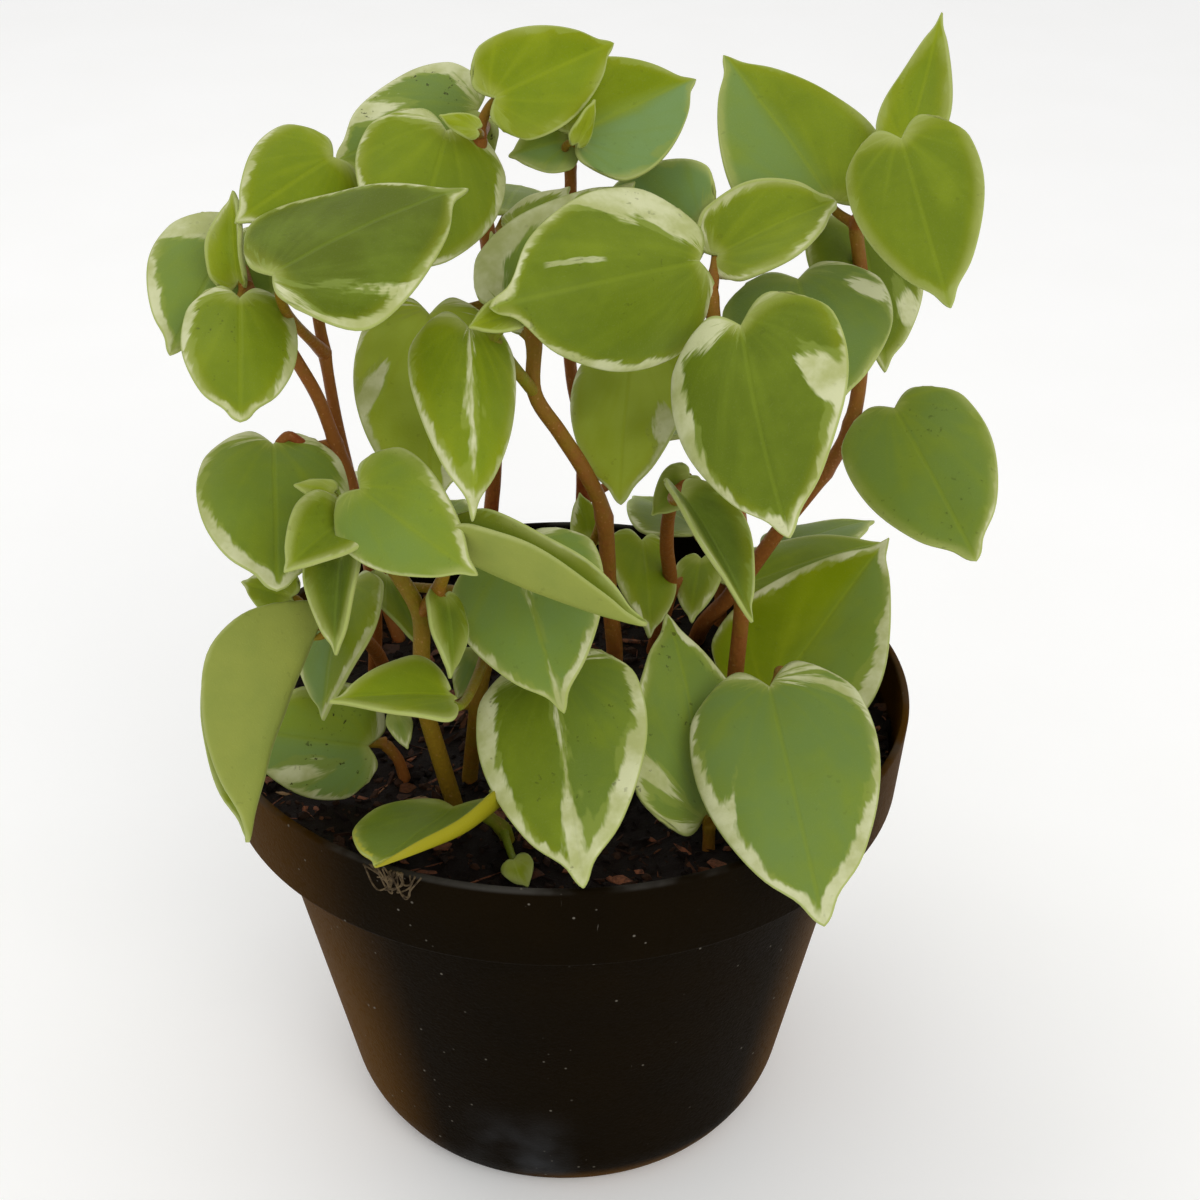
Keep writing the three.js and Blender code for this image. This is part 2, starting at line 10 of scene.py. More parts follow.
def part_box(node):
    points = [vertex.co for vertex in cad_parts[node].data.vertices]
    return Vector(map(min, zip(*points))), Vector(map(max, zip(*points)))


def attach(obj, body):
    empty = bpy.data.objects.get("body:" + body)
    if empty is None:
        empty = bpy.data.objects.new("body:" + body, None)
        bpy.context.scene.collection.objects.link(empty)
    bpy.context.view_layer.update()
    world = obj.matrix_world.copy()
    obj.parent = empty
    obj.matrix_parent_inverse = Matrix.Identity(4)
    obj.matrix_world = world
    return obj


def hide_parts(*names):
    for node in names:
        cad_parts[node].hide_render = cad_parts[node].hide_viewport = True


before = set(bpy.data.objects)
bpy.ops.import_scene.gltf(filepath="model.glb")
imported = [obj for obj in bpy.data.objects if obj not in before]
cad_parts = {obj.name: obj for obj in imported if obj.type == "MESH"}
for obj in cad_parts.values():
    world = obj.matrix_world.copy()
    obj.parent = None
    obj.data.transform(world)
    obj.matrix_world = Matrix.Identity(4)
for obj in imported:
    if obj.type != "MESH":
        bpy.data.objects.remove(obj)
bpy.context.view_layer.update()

# A potted peperomia: heart-shaped waxy leaves, many with cream margins, on forking red-brown stems in
# a small black nursery pot. The frame's origin is the centre of the pot's base, +Z is up, and the side
# seen in the photograph faces -Y. Blender works in metres, and MM turns a size in millimetres into them.
MM = 0.001


# The studio: a pale table top that runs off into a white surround, one broad soft light high behind
# the left shoulder of the plant, a stronger one at its front right, and the camera at its viewing angle.
IMAGE_SIDE = 1200
FOCAL_PIXELS = 2000
SENSOR_WIDTH = 36
CAMERA_PLACE = Vector((0, -296.7, 267.9)) * MM
CAMERA_PITCH = 29.64
CAMERA_YAW = 1.24
LIT_PLACE = Vector((0, 0, 0.1))
TABLE_HALF = 3

scene = bpy.context.scene
scene.view_settings.view_transform = "Standard"


def add_object(name, data, home=scene.collection):
    thing = bpy.data.objects.new(name, data)
    home.objects.link(thing)
    return thing


camera = add_object("camera", bpy.data.cameras.new("camera"))
camera.data.sensor_width = SENSOR_WIDTH
camera.data.lens = SENSOR_WIDTH * FOCAL_PIXELS / IMAGE_SIDE
camera.location = CAMERA_PLACE
camera.rotation_euler = (math.radians(90 - CAMERA_PITCH), 0, math.radians(-CAMERA_YAW))
scene.camera = camera


def soft_light(name, place, size, power, colour):
    light = bpy.data.lights.new(name, "AREA")
    light.shape = "SQUARE"
    light.size = size
    light.energy = power
    light.color = colour
    lamp = add_object(name, light)
    lamp.location = place
    lamp.rotation_euler = (LIT_PLACE - lamp.location).to_track_quat("-Z", "Y").to_euler()


soft_light("sky_light", (-0.3, 0.3, 0.95), 0.7, 1.5, (1, 0.99, 0.95))
soft_light("room_light", (0.35, -0.85, 0.7), 0.6, 3.0, (1, 0.97, 0.92))

surround = bpy.data.worlds.new("surround")
surround.use_nodes = True
glow = surround.node_tree.nodes["Background"].inputs
glow["Color"].default_value = (1, 1, 1, 1)
glow["Strength"].default_value = 0.72
scene.world = surround


def linear(hex_colour):
    """An sRGB colour such as "8a9a3c" as the four linear numbers of a socket."""
    channels = [int(hex_colour[i:i + 2], 16) / 255 for i in (0, 2, 4)]
    return (*(c / 12.92 if c <= 0.04045 else ((c + 0.055) / 1.055) ** 2.4 for c in channels), 1)


class Wire:
    """A socket of a finish's nodes, which sums in Python can be written on."""

    def __init__(self, finish, socket):
        self.finish = finish
        self.socket = socket

    def sum(self, operation, *others):
        return self.finish.node("Math", dict(enumerate((self, *others))), operation=operation)

    __add__ = __radd__ = partialmethod(sum, "ADD")
    __sub__ = partialmethod(sum, "SUBTRACT")
    __mul__ = partialmethod(sum, "MULTIPLY")
    __truediv__ = partialmethod(sum, "DIVIDE")
    __pow__ = partialmethod(sum, "POWER")
    __abs__ = partialmethod(sum, "ABSOLUTE")
    least = partialmethod(sum, "MINIMUM")
    most = partialmethod(sum, "MAXIMUM")

    def __rsub__(self, other):
        return self.finish.node("Math", {0: other, 1: self}, operation="SUBTRACT")

    def rise(self, low, high):
        """0 below low, 1 above high and smooth between them; high may be under low."""
        values = {"Value": self, 1: low, 2: high}
        return self.finish.node("MapRange", values, interpolation_type="SMOOTHSTEP")


class Finish:
    """A procedural material. What is the same all over is set on the shader's own sockets."""

    def __init__(self, name, **constants):
        self.material = bpy.data.materials.new(name)
        self.material.use_nodes = True
        self.tree = self.material.node_tree
        self.shader = self.tree.nodes["Principled BSDF"]
        for key, value in constants.items():
            self.shader.inputs[key.replace("_", " ")].default_value = value
        # Where a point is on the piece, in millimetres
        place = self.node("TexCoord", {}, "Object")
        self.place = self.node("VectorMath", {0: place, "Scale": 1 / MM}, operation="SCALE")

    def plug(self, socket, value):
        if isinstance(value, Wire):
            self.tree.links.new(value.socket, socket)
        else:
            socket.default_value = linear(value) if isinstance(value, str) else value

    def node(self, kind, values, out=0, **settings):
        node = self.tree.nodes.new("ShaderNode" + kind)
        for key, value in settings.items():
            setattr(node, key, value)
        for key, value in values.items():
            self.plug(node.inputs[key], value)
        return Wire(self, node.outputs[out])

    def layers(self, colour, *coats):
        """A colour with coats over it, each of them a colour and the share of it that shows."""
        for coat, share in coats:
            colour = self.node("Mix", {0: share, 6: colour, 7: coat}, 2, data_type="RGBA")
        return colour

    def grain(self, scale, detail=2, roughness=0.5, place=None):
        values = {"Vector": place or self.place, "Scale": scale, "Detail": detail, "Roughness": roughness}
        return self.node("TexNoise", values)

    def parts(self, vector):
        split = self.node("SeparateXYZ", {"Vector": vector}).socket.node
        return [Wire(self, socket) for socket in split.outputs]

    def attribute(self, name, out="Vector"):
        return self.node("Attribute", {}, out, attribute_name=name)

    def vector(self, *values):
        return self.node("CombineXYZ", dict(enumerate(values)))

    def surface(self, base, coats, roughness=None, height=None, depth=0):
        """Sets what the shader shows. The bump is a height in parts of depth, which is in metres."""
        self.plug(self.shader.inputs["Base Color"], self.layers(base, *coats))
        if roughness:
            self.plug(self.shader.inputs["Roughness"], roughness)
        if height:
            self.plug(self.shader.inputs["Normal"], self.node("Bump", {"Height": height, "Distance": depth}))


table_white = Finish("table_white", Roughness=0.8, Emission_Color=(1, 1, 1, 1), Emission_Strength=0.1)
table_white.surface("fbfbfa", [("ffffff", table_white.grain(0.02))])
table_mesh = bpy.data.meshes.new("table_top")
corners = [(x * TABLE_HALF, y * TABLE_HALF, 0) for x, y in ((-1, -1), (1, -1), (1, 1), (-1, 1))]
table_mesh.from_pydata(corners, [], [(0, 1, 2, 3)])
table_mesh.materials.append(table_white.material)
table_top = add_object("table_top", table_mesh)


# The pot: a thin-walled moulded nursery pot of near-black plastic with a stepped rim band, a rounded
# bottom corner, a foot ring, six drain holes and six notches in the foot for the water to run out.
RIM_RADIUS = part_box("pot")[1].x
POT_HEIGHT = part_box("pot")[1].z
BAND_HEIGHT = 15.5 * MM
BAND_LOWER_RADIUS = 58.9 * MM
BODY_TOP_RADIUS = 53 * MM
BASE_RADIUS = 40.4 * MM
CORNER_HEIGHT = 6.6 * MM
CORNER_STEPS = 5
FOOT_RADIUS = 36.3 * MM
WALL = 1.3 * MM
FLOOR_THICKNESS = 2.2 * MM
FOOT_RECESS = 1 * MM
FOOT_WIDTH = 6 * MM
PAD_RADIUS = 9 * MM
DRAIN_HOLES = 6
DRAIN_RADIUS = 3.5 * MM
DRAIN_CIRCLE = 21 * MM
DRAIN_SIDES = 40
NOTCH_WIDTH = 5 * MM
POT_SIDES = 160
SHARP_ANGLE = 50


def rounded(profile):
    """A profile with its corners rounded off, each from so many millimetres before it to as many after."""
    path = []
    for i, (corner, cut) in enumerate(profile):
        here = Vector(corner)
        if cut == 0:
            path.append(here)
            continue
        back = Vector(profile[i - 1][0]) - here
        on = Vector(profile[i + 1][0]) - here
        reach = min(cut * MM, 0.45 * back.length, 0.45 * on.length)
        start = here + back.normalized() * reach
        end = here + on.normalized() * reach
        for k in range(CORNER_STEPS + 1):
            u = k / CORNER_STEPS
            path.append(start * (1 - u) ** 2 + here * 2 * u * (1 - u) + end * u ** 2)
    return path


def to_object(name, shape, home=scene.collection):
    """Turns a shape that is being modelled into an object of a collection."""
    data = bpy.data.meshes.new(name)
    shape.to_mesh(data)
    shape.free()
    return add_object(name, data, home)


def revolve(name, profile, sides):
    """A closed mesh round the pot's axis from radii and heights; a height may be a rule of x and y."""
    shape = bmesh.new()
    rings = []
    for radius, height in profile:
        ring = []
        for i in range(sides if radius > 0 else 1):
            angle = 2 * math.pi * i / sides
            x, y = radius * math.cos(angle), radius * math.sin(angle)
            ring.append(shape.verts.new((x, y, height(x, y) if callable(height) else height)))
        rings.append(ring)
    for low, high in zip(rings, rings[1:]):
        for i in range(sides):
            j = (i + 1) % sides
            loop = [low[i % len(low)], low[j % len(low)], high[j % len(high)], high[i % len(high)]]
            shape.faces.new(dict.fromkeys(loop))
    bmesh.ops.recalc_face_normals(shape, faces=shape.faces)
    return to_object(name, shape)


def settle(thing):
    """Applies what modifiers the piece has and removes them."""
    graph = bpy.context.evaluated_depsgraph_get()
    plain = bpy.data.meshes.new_from_object(thing.evaluated_get(graph), depsgraph=graph)
    thing.modifiers.clear()
    old = thing.data
    thing.data = plain
    bpy.data.meshes.remove(old)


body_top = POT_HEIGHT - BAND_HEIGHT
foot_inner = FOOT_RADIUS - FOOT_WIDTH
pot = revolve("nursery_pot", rounded([
    ((0, 0), 0), ((PAD_RADIUS, 0), 0.4), ((PAD_RADIUS + MM, FOOT_RECESS), 0.4),
    ((foot_inner - MM, FOOT_RECESS), 0.4), ((foot_inner, 0), 0.4), ((FOOT_RADIUS, 0), 2.4),
    ((BASE_RADIUS - 0.4 * MM, CORNER_HEIGHT - 0.6 * MM), 5), ((BODY_TOP_RADIUS, body_top), 0.7),
    ((BAND_LOWER_RADIUS - 0.3 * MM, body_top), 0.7), ((RIM_RADIUS, POT_HEIGHT - 0.1 * MM), 0.6),
    ((RIM_RADIUS - WALL, POT_HEIGHT), 0.6), ((BAND_LOWER_RADIUS - WALL, body_top + WALL), 0.6),
    ((BODY_TOP_RADIUS - WALL, body_top + WALL), 0.6), ((BASE_RADIUS - WALL, CORNER_HEIGHT), 3),
    ((FOOT_RADIUS - MM, FLOOR_THICKNESS), 1), ((0, FLOOR_THICKNESS), 0),
]), POT_SIDES)

cutters = bmesh.new()
for i in range(DRAIN_HOLES):
    turn = 2 * math.pi * i / DRAIN_HOLES
    middle = Matrix.Rotation(turn, 4, "Z") @ Matrix.Translation((DRAIN_CIRCLE, 0, 0))
    bmesh.ops.create_cone(cutters, cap_ends=True, segments=DRAIN_SIDES, radius1=DRAIN_RADIUS,
                          radius2=DRAIN_RADIUS, depth=10 * MM, matrix=middle)
    middle = Matrix.Rotation(turn + math.pi / DRAIN_HOLES, 4, "Z")
    middle = middle @ Matrix.Translation((FOOT_RADIUS - FOOT_WIDTH / 2, 0, 0))
    middle = middle @ Matrix.Diagonal((FOOT_WIDTH + 2 * MM, NOTCH_WIDTH, 2 * FOOT_RECESS, 1))
    bmesh.ops.create_cube(cutters, size=1, matrix=middle)
cutter = to_object("drain_cutters", cutters)
holes = pot.modifiers.new("drain", "BOOLEAN")
holes.object = cutter
holes.solver = "EXACT"
settle(pot)
bpy.data.objects.remove(cutter)
pot.data.shade_smooth()
pot.data.set_sharp_from_angle(angle=math.radians(SHARP_ANGLE))

# Near-black plastic with a painted amber glow on the thin sides, for daylight coming through them, a
# painted grey highlight on the lip, a pale painted sheen low at the front and at the back, fine scratches
# and grains of dust
plastic = Finish("pot_plastic", Specular_IOR_Level=0.015, IOR=1.46)
across, depth, height = plastic.parts(plastic.place)
radius_mm = (across * across + depth * depth) ** 0.5
aside = across / radius_mm
# Painted amber glow at the sides and low down, for daylight through the thin plastic
painted_glow = aside.rise(-0.5, -0.9).most(aside.rise(0.7, 1)) * (0.7 + height.rise(72, 25) * 0.3)
low_painted_glow = height.rise(6, 1) * across.rise(-14, 4)
# A painted grey highlight along the top of the lip
lip_highlight = height.rise(POT_HEIGHT / MM - 0.9, POT_HEIGHT / MM - 0.1) * radius_mm.rise(57.5, 59)
smear = plastic.grain(0.05, 4, 0.6)
dust = plastic.grain(1.1, 2, 0.6)
speck = plastic.node("TexVoronoi", {"Vector": plastic.place, "Scale": 0.34}, "Distance")
speck = speck.rise(0.1, 0.04) * plastic.grain(0.09).rise(0.46, 0.56)
stretched = plastic.vector(across * 0.9, depth * 0.9, height * 0.05)
scratch = plastic.grain(1.2, 3, 0.7, stretched).rise(0.71, 0.76)
scratch = scratch * plastic.grain(0.04, 1).rise(0.5, 0.6)
# A pale painted sheen, the reflection of soft light low on the body
painted_sheen = plastic.grain(0.05, 3, 0.6).rise(0.3, 0.6) * height.rise(26, 6) * across.rise(-20, -13)
painted_sheen = painted_sheen * across.rise(3, -6) * height.rise(2, 5)
plastic.surface("0b0702", [
    ("160e03", smear),
    ("583800", painted_glow.most(low_painted_glow) * 0.85),
    ("45433f", lip_highlight * smear.rise(0.4, 0.65) * 0.7),
    ("6f6a60", (speck * 0.8 + scratch * 0.35).least(1)),
    ("3f4144", painted_sheen * 0.65),
], 0.46 + smear * 0.16 + dust.rise(0.5, 0.7) * 0.1, plastic.grain(1.6, 3, 0.6) + smear * 2, 0.12 * MM)
pot.data.materials.clear()
pot.data.materials.append(plastic.material)
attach(pot, "root")
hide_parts("pot")


# The potting mix: moist near-black peat filled to just below the rim, with bark chips half sunk in it
# and a layer of crumbs. Its body is one lumpy solid, and Geometry Nodes scatter the crumbs over it.
SOIL_TOP = 74.6 * MM
SOIL_GAP = 0.35 * MM
SOIL_LUMPS = ((0.9, 14), (0.75, 5), (0.5, 2.2))
SOIL_EDGE = 3 * MM
SOIL_RINGS = 44
SOIL_SIDES = 132
CRUMBS_PER_SQUARE_METRE = 300000
FLAKES_PER_SQUARE_METRE = 34000
CRUMB_SIZES = [(1, 0.8, 0.7), (1.5, 0.7, 0.5), (0.9, 0.9, 0.8), (2.4, 0.5, 0.4), (1.3, 1.1, 0.5)]
FLAKE_SIZES = [(5.5, 2.6, 0.9), (4, 3.2, 1.1), (6.5, 1.6, 1), (3, 2.4, 1.4), (9, 0.5, 0.4), (7, 0.35, 0.35)]

inset = WALL + SOIL_GAP
soil_radius = BAND_LOWER_RADIUS - WALL - SOIL_GAP - 0.3 * MM


def soil_height(x, y):
    """Lumps of a few heights and breadths, flattened where the mix meets the pot."""
    here = Vector((x, y, 0)) / MM
    lumps = sum(height * noise.noise(here / breadth) for height, breadth in SOIL_LUMPS)
    edge = min(1, (soil_radius - math.hypot(x, y)) / SOIL_EDGE)
    return SOIL_TOP + lumps * MM * max(edge, 0.25) - 0.4 * MM * (1 - edge)


potting_mix = revolve("potting_mix", [
    *((soil_radius * i / SOIL_RINGS, soil_height) for i in range(SOIL_RINGS + 1)),
    (soil_radius, body_top + inset), (BODY_TOP_RADIUS - inset, body_top + inset),
    (BASE_RADIUS - inset, CORNER_HEIGHT + 0.3 * MM), (FOOT_RADIUS - 1.5 * MM, FLOOR_THICKNESS + SOIL_GAP),
    (0, FLOOR_THICKNESS + SOIL_GAP),
], SOIL_SIDES)


def lump(name, seed, size, faces, roughness, home):
    """An uneven stone-like piece: a ball of few faces, pulled about by noise and squashed to size."""
    shape = bmesh.new()
    bmesh.ops.create_icosphere(shape, subdivisions=faces, radius=0.5)
    for vertex in shape.verts:
        pull = 1 + roughness * noise.noise(vertex.co * 3 + Vector((seed * 7.3, seed * 3.1, 0)))
        vertex.co = Vector(c * s * pull for c, s in zip(vertex.co, size))
    return to_object(name, shape, home)


class Grove:
    """A Geometry Nodes tree with named inputs."""

    def __init__(self, name, **inputs):
        self.tree = bpy.data.node_groups.new(name, "GeometryNodeTree")
        sockets = self.tree.interface
        sockets.new_socket("Geometry", in_out="INPUT", socket_type="NodeSocketGeometry")
        sockets.new_socket("Geometry", in_out="OUTPUT", socket_type="NodeSocketGeometry")
        kinds = {int: "NodeSocketInt", float: "NodeSocketFloat"}
        self.values = {}
        for key, value in inputs.items():
            kind = kinds.get(type(value), "NodeSocketCollection")
            self.values[sockets.new_socket(key, in_out="INPUT", socket_type=kind).identifier] = value
        self.start = self.tree.nodes.new("NodeGroupInput")

    def node(self, kind, values, **settings):
        """A node. An input may be a value, a socket or another node, which gives its first output."""
        node = self.tree.nodes.new(kind)
        for key, value in settings.items():
            setattr(node, key, value)
        for key, value in values.items():
            if isinstance(value, bpy.types.Node):
                value = value.outputs[0]
            if isinstance(value, bpy.types.NodeSocket):
                self.tree.links.new(value, node.inputs[key])
            else:
                node.inputs[key].default_value = value
        return node

    def sum(self, operation, *values):
        return self.node("ShaderNodeMath", dict(enumerate(values)), operation=operation)

    def chance(self, seed):
        return self.node("FunctionNodeRandomValue", {2: 0, 3: 1, "Seed": seed}, data_type="FLOAT").outputs[1]

    def height(self, vector):
        """The upward part of what a node of this kind reads, such as the normal."""
        return self.node("ShaderNodeSeparateXYZ", {0: self.node(vector, {})}).outputs[2]

    def grow_on(self, thing):
        """Puts the tree on a piece, sets its named inputs, and keeps the result as a plain mesh."""
        modifier = thing.modifiers.new(self.tree.name, "NODES")
        modifier.node_group = self.tree
        for identifier, value in self.values.items():
            modifier[identifier] = value
        settle(thing)


peat = Finish("peat_crumbs", Specular_IOR_Level=0.15)
crumb_tone = peat.grain(0.45)
shade = peat.attribute("shade", "Fac")
peat.surface("160d08", [
    ("3a2416", shade.rise(0.2, 0.8) * (0.4 + crumb_tone)),
    ("5e3a24", shade.rise(0.86, 0.97) * crumb_tone.rise(0.2, 0.6)),
], 0.5 + crumb_tone * 0.4, peat.grain(1.6, 4, 0.75), 0.5 * MM)

flake_bark = Finish("bark_flakes", Specular_IOR_Level=0.3)
flake_grain = flake_bark.grain(0.9, 4, 0.7)
shade = flake_bark.attribute("shade", "Fac")
flake_bark.surface("2e1a0f", [
    ("94593a", shade * flake_grain.rise(0.3, 0.6)),
    ("8c7350", shade.rise(0.93, 0.97) * 0.8),
], 0.6 + flake_grain * 0.3, flake_grain, 0.4 * MM)


def strew(name, sizes, seeds, roughness, finish, density, least, spread, lean):
    """Strews lumps over the top of the mix, each with its own turn, size and shade. The seeds are for
    the shapes and for their places."""
    shapes = bpy.data.collections.new(name)
    for i, size in enumerate(sizes):
        lump(f"{name}_{i}", seeds[0] + i, [side * MM for side in size], 1, roughness, shapes)
    grove = Grove(f"strew_{name}", Shapes=shapes, Density=float(density), Seed=seeds[1],
                  Least=least, Spread=spread)
    inputs = grove.start.outputs
    upward = grove.sum("GREATER_THAN", grove.height("GeometryNodeInputNormal"), 0.3)
    on_top = grove.sum("GREATER_THAN", grove.height("GeometryNodeInputPosition"), SOIL_TOP - 3 * MM)
    points = grove.node("GeometryNodeDistributePointsOnFaces", {
        "Mesh": inputs[0], "Selection": grove.sum("MULTIPLY", upward, on_top),
        "Density": inputs["Density"], "Seed": inputs["Seed"]})
    kinds = grove.node("GeometryNodeCollectionInfo", {
        0: inputs["Shapes"], "Separate Children": True, "Reset Children": True})
    turn = grove.node("FunctionNodeRandomValue", {
        0: (-lean, -lean, 0), 1: (lean, lean, 6.3), "Seed": 21}, data_type="FLOAT_VECTOR")
    steep = grove.sum("POWER", grove.chance(22), 3)
    size = grove.sum("MULTIPLY_ADD", steep, inputs["Spread"], inputs["Least"])
    placed = grove.node("GeometryNodeInstanceOnPoints", {
        "Points": points, "Instance": kinds, "Pick Instance": True, "Rotation": turn, "Scale": size})
    shaded = grove.node("GeometryNodeStoreNamedAttribute", {
        "Geometry": placed, "Name": "shade", "Value": grove.chance(23)}, data_type="FLOAT", domain="INSTANCE")
    loose = grove.node("GeometryNodeRealizeInstances", {0: shaded})
    coated = grove.node("GeometryNodeSetMaterial", {0: loose, "Material": finish.material})
    grove.node("NodeGroupOutput", {0: coated})
    strewn = add_object(name, potting_mix.data.copy())
    grove.grow_on(strewn)
    return strewn


peat_crumbs = strew("peat_crumbs", CRUMB_SIZES, (0, 4), 0.9, peat, CRUMBS_PER_SQUARE_METRE,
                    least=0.6, spread=2.2, lean=0.9)
bark_flakes = strew("bark_flakes", FLAKE_SIZES, (20, 9), 1.2, flake_bark, FLAKES_PER_SQUARE_METRE,
                    least=0.6, spread=0.7, lean=0.35)

# The mix under the crumbs is the same stuff, so it has the same finish
potting_mix.data.materials.append(peat.material)
potting_mix.data.shade_smooth()


# The leaf blades: stiff, waxy and nearly a millimetre thick, with a pale edge. Each is measured from its
# notch: heading, pitch and roll in degrees, length and width in millimetres, then its fold at the
# midrib, the curl of its margins and its arch, and its taper. Its look follows in named values:
# - age is 0 for young and bright and 1 for old and dull; less than 0 gives a paler yellow-green that
#   is painted sunlight, to lift a leaf that lies in shade
# - the bluish-green share and cream are for the left and right half, or one number for both: the share
#   of bluish green, partly the leaf's own tint and partly a painted sheen of soft light that lightens the
#   half, and the width of the cream margin
# - streak is the start and width of cream at the midrib; a patch is (along, across, length, width)
# - specks below 0 turn the leaf yellow instead; rolled is a side, its start and the angle it rolls by
# - wave, drip, dome and lobe shape the margin, the tip and the base; tear is a slit's ray, start and end
TIP_HALF_WIDTH = 0.12
BLADE_THICKNESS = 0.95
BLADE_EDGE = 1.3
CREASE = 1.4
SMALL_BLADE_LENGTH = 9
HUB = 0.8
VEIN_BEND = 0.4
VEIN_REACH = 30
OPEN = (8, -24, 14)
TAPER = 1.02
LOOK = {
    "age": 0.5, "blue": 0.1, "cream": 0.9, "streak": None, "patches": (),
    "specks": 0.15, "rolled": None, "wave": 0.35, "drip": 0.3,
    "dome": (0.55, 0.12), "lobe": 0.1, "tear": (0, 0, 0),
}


def smooth(low, high, value):
    share = np.clip((value - low) / (high - low), 0, 1)
    return share * share * (3 - 2 * share)


def half_width(s, taper, drip, dome):
    """Half width of a heart-shaped blade as a share of its greatest, with the lobes rounded off."""
    flare, base = 0.45, 0.12
    widest = (flare - taper * base) / (taper + flare)
    shape = (1 - s) ** taper * (s + base) ** flare
    peak = (1 - widest) ** taper * (widest + base) ** flare
    cut, reach = dome
    corner = np.sqrt(1 - cut * np.clip(1 - s / reach, 0, 1) ** 2)
    point = 1 - drip * np.exp(-((s - 0.92) / (0.04 + 0.1 * drip)) ** 2)
    return shape / peak * corner * point


def from_midrib(steps):
    """Sums the steps of each row outwards from the midrib, which is the middle column."""
    middle = steps.shape[1] // 2
    left = np.cumsum(-steps[:, middle - 1::-1], axis=1)[:, ::-1]
    return np.concatenate([left, np.zeros_like(steps[:, :1]), np.cumsum(steps[:, middle:], axis=1)], axis=1)


def blade_middle(blade, s, t, seed=0):
    """Points of the blade's middle surface for along-shares s and across-shares t, in its own frame."""
    length, half = blade["length"], blade["width"] / 2
    fold, curl, arch = (math.radians(angle) for angle in blade["shape"])
    s, t = s[:, None], t[None, :]
    reach = half * half_width(s, blade["taper"], blade["drip"], blade["dome"]) + TIP_HALF_WIDTH
    side = np.sign(t)
    share = np.abs(t)
    across = share * reach
    angle = fold * smooth(0, CREASE, across) + curl / half * across
    if blade["rolled"]:
        which, start, extra = blade["rolled"]
        angle = angle + np.where(side == which, math.radians(extra) * smooth(start, 1, share), 0)
    step = np.diff(across, axis=1)
    turned = (angle[:, 1:] + angle[:, :-1]) / 2
    out = from_midrib(step * np.cos(turned))
    rise = from_midrib(step * np.sin(turned))
    ripple = np.sin(2 * math.pi * (1.6 * s + 0.37 * seed + 0.3 * side))
    rise = rise + blade["wave"] * ripple * share ** 2 * (1 - s) ** 0.5
    radius = length / (2 * math.sin(arch / 2))
    turn = arch * (s - 0.5)
    lobe = blade["lobe"] * length * np.clip(1 - s / 0.4, 0, 1) ** 2 * np.sin(0.8 * math.pi * share)
    along = length / 2 + radius * np.sin(turn) - lobe * np.cos(turn)
    lift = radius * (np.cos(turn) - math.cos(arch / 2)) + lobe * np.sin(turn)
    points = np.stack([along + rise * np.sin(turn), side * out, lift + rise * np.cos(turn)], axis=-1)
    return points, reach, lobe


def blade_place(blade):
    heading, pitch, roll = (math.radians(angle) for angle in blade["aim"])
    turn = Matrix.Rotation(heading, 4, "Z") @ Matrix.Rotation(-pitch, 4, "Y") @ Matrix.Rotation(roll, 4, "X")
    return Matrix.Translation(blade["notch"]) @ turn


